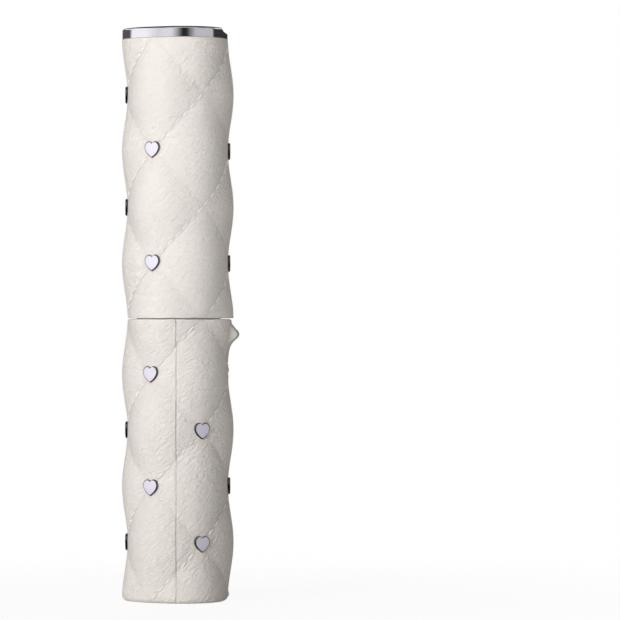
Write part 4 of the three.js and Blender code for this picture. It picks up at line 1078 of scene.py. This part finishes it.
# Half thickness of a fin at four places along it.
FIN_THICKNESS = [(TOOTH_TIP, 0.56), (-4.9, 0.86), (1.5, 0.58), (END_START, 0.52)]
ALONG = [(TOOTH_TIP, 0.35), (TOOTH_TIP + 0.1, 0.72), (TOOTH_TIP + 0.35, 0.93)]
ALONG += [(x, 1.0) for x in (TOOTH_TIP + 0.8, -9.4, -7.6, -6.2, -4.9, -3.2, -1.4, 0.2, 1.5, 3.5, 6.0,
                             END_START)]

def fin_thickness(x):
    for (x0, v0), (x1, v1) in zip(FIN_THICKNESS, FIN_THICKNESS[1:]):
        if x <= x1:
            t = max(0.0, (x - x0) / (x1 - x0))
            return v0 + (v1 - v0) * t * t * (3 - 2 * t)
    return FIN_THICKNESS[-1][1]

def fin_stations():
    """Middle, half width vector and half thickness along the fin's path, for half of it."""
    stations = []
    for x, scale in ALONG:
        outer_y = FIN_HALF - 0.4 * max(0.0, (TOOTH_TIP + 2 - x) / 2)
        half_width = -(outer_y - FIN_ROOT) / 2 * scale
        stations.append(((x, -(outer_y + FIN_ROOT) / 2), (0, half_width), fin_thickness(x) * scale))
    for k in range(1, TURN_STEPS + 1):
        turn = math.radians(-90 + 90 * k / TURN_STEPS)
        out = (END_START + (SPIKE_TIP - END_START) * math.cos(turn), FIN_HALF * math.sin(turn))
        into = (END_START + END_ROUND * math.cos(turn), FIN_ROOT * math.sin(turn))
        stations.append((((out[0] + into[0]) / 2, (out[1] + into[1]) / 2),
                         ((out[0] - into[0]) / 2, (out[1] - into[1]) / 2), FIN_THICKNESS[-1][1]))
    return stations

def fin_mesh(height):
    half = fin_stations()
    mirrored = [((m[0], -m[1]), (w[0], -w[1]), t) for m, w, t in reversed(half[:-1])]
    rings = []
    for middle, width, thick in half + mirrored:
        ring = []
        for a in (math.tau * k / FIN_CORNERS for k in range(FIN_CORNERS)):
            out, up = math.cos(a), math.sin(a)
            rise = thick * math.copysign(abs(up) ** 0.85, up) * (1 - 0.22 * max(0.0, out))
            ring.append((middle[0] + width[0] * out, middle[1] + width[1] * out, height + rise))
        rings.append(ring)
    return stacked_rings(rings)

print("fin path stations:", 2 * len(fin_stations()) - 1)

# %% [markdown]
# ### Spine and fins
# The spine is one upright bar. Its plan has a small lip beside the heated row, straight sides and
# rounded back corners. A low pad lies under the lowest fin, between that fin and the comb's foot.
# Pad and fins share a finish, and the spine has its own.

# %% Build spine and fins
SPINE_LOW, SPINE_HIGH, SPINE_ROUND = 102.5, 179.9, 2.8
SPINE_LIP = [(1.5, -4.3), (1.5, -4.8), (1.57, -4.98), (1.8, -5.12), (2.2, -5.23), (2.75, -5.42),
             (3.3, -5.60), (3.5, -5.66), (3.8, -5.7)]
PAD, PAD_LOW, PAD_HIGH = [(-1.2, -5.2), (1.6, -5.2), (1.6, 5.2), (-1.2, 5.2)], 102.2, 103.2
FIN_KIND, SPINE_KIND = 0, 1

def spine_outline():
    turns = [math.radians(t) for t in range(10, 91, 10)]
    near = SPINE_LIP + [(6.0, -5.7), (END_START, -5.7)]
    near += [(END_START + SPINE_ROUND * math.sin(t), -2.9 - SPINE_ROUND * math.cos(t)) for t in turns]
    return near + [(x, -y) for x, y in reversed(near)] + [(7.6, 4.3), (7.6, -4.3)]

def upright(outline, low, high):
    return stacked_rings([[(x, y, z) for x, y in outline] for z in (low, high)])

def comb_body():
    solids = [(upright(spine_outline(), SPINE_LOW, SPINE_HIGH), SPINE_KIND),
              (upright(PAD, PAD_LOW, PAD_HIGH), FIN_KIND)]
    for i in range(FIN_COUNT):
        height = FIRST_FIN + (LAST_FIN - FIRST_FIN) * i / (FIN_COUNT - 1)
        solids.append((fin_mesh(height), FIN_KIND))
    shape = joined(solids)
    make_piece("comb_fins_and_spine", shape, "handle", [black_resin, spine_resin],
               ["comb_body"], 40, shape[2])

comb_body()

# %% [markdown]
# ### Head block and guard tooth
# The comb ends in a block with a long, thick, round-ended guard tooth that parts the hair before
# the fins reach it. The block is the fins' plan with rolled edges, and the tooth is a tapering
# blade with fully rounded sides.

# %% Build the comb's head
HEAD_LOW, HEAD_HIGH, HEAD_MIDDLE_X = 179.9, 184.4, 8.0
HEAD_LEVELS = [(0.4, HEAD_LOW), (0.1, HEAD_LOW + 0.1), (0, HEAD_LOW + 0.4), (0, HEAD_HIGH - 1.0),
               (0.07, HEAD_HIGH - 0.6), (0.25, HEAD_HIGH - 0.28), (0.55, HEAD_HIGH - 0.08), (0.95, HEAD_HIGH)]
GUARD_TIP, GUARD_MIDDLE, GUARD_ROOT, GUARD_CORNERS = TOOTH_TIP - 0.35, HEAD_HIGH - 2.7, 5.0, 28
GUARD_ROUND, GUARD_TAPER_END = 1.2, 2.7
# How far from the tip, and what share of the full section the guard tooth has there.
GUARD_TIP_STATIONS = ((0, 0.25), (0.08, 0.55), (0.3, 0.82), (0.7, 0.96), (GUARD_ROUND, 1.0))

def head_plan():
    near = [(2.7, -5.0), (2.75, -5.5), (3.0, -5.95), (3.45, -6.2), (4.0, -6.25), (6.5, -6.25)]
    turns = [math.radians(t) for t in range(0, 91, 9)]
    near += [(END_START + (SPIKE_TIP - END_START) * math.sin(t), -FIN_HALF * math.cos(t)) for t in turns]
    return near + [(x, -y) for x, y in reversed(near[:-1])]

def shrunk(outline, inset):
    return [(x - math.copysign(inset, x - HEAD_MIDDLE_X) * min(1, abs(x - HEAD_MIDDLE_X) / 3),
             y - math.copysign(inset, y) * min(1, abs(y) / 3)) for x, y in outline]

def guard_ring(x, scale):
    share = min(1.0, (x - GUARD_TIP) / (GUARD_TAPER_END - GUARD_TIP))
    half_z = (1.05 + 0.93 * share) * scale
    half_y = 5.75 - 0.9 * (1 - scale)
    centre = GUARD_MIDDLE + 0.12 * share
    ring = []
    for a in (math.tau * k / GUARD_CORNERS for k in range(GUARD_CORNERS)):
        c, s = math.cos(a), math.sin(a)
        y = half_y * math.copysign(abs(c) ** 0.55, c)
        ring.append((x, y, centre + half_z * math.copysign(abs(s) ** 0.8, s)))
    return ring

def comb_head():
    block = [[(x, y, z) for x, y in shrunk(head_plan(), inset)] for inset, z in HEAD_LEVELS]
    stations = [(GUARD_TIP + along, scale) for along, scale in GUARD_TIP_STATIONS]
    straight = GUARD_ROOT - GUARD_TIP - GUARD_ROUND
    stations += [(GUARD_TIP + GUARD_ROUND + straight * k / 8, 1.0) for k in range(1, 9)]
    guard = [guard_ring(*station) for station in stations]
    solids = joined([(stacked_rings(block), FIN_KIND), (stacked_rings(guard), FIN_KIND)])
    make_piece("comb_head_and_guard", solids, "handle", [black_resin], ["comb_end_cap"], 40)

comb_head()

# %% [markdown]
# ### Heated row and foot
# The heated teeth and the comb's foot keep their CAD solids, and so do the base plate and the
# charging port. A narrow bevel takes the hard edges off, as mould and coating do on real pieces.

# %% Soften the carried-over pieces
BEVEL_WIDTHS = {"heat_plate": 0.14, "comb_foot": 0.25, "handle_base_plate": 0.12, "charge_port": 0.06}
BEVEL_FROM_ANGLE = math.radians(50)

for name, width in BEVEL_WIDTHS.items():
    soft_edge = frame["nodes"][name].modifiers.new("soft_edge", "BEVEL")
    soft_edge.width = width / MM_PER_M
    soft_edge.segments = 2
    soft_edge.limit_method = "ANGLE"
    soft_edge.angle_limit = BEVEL_FROM_ANGLE
    print(name, "edge", width, "mm")
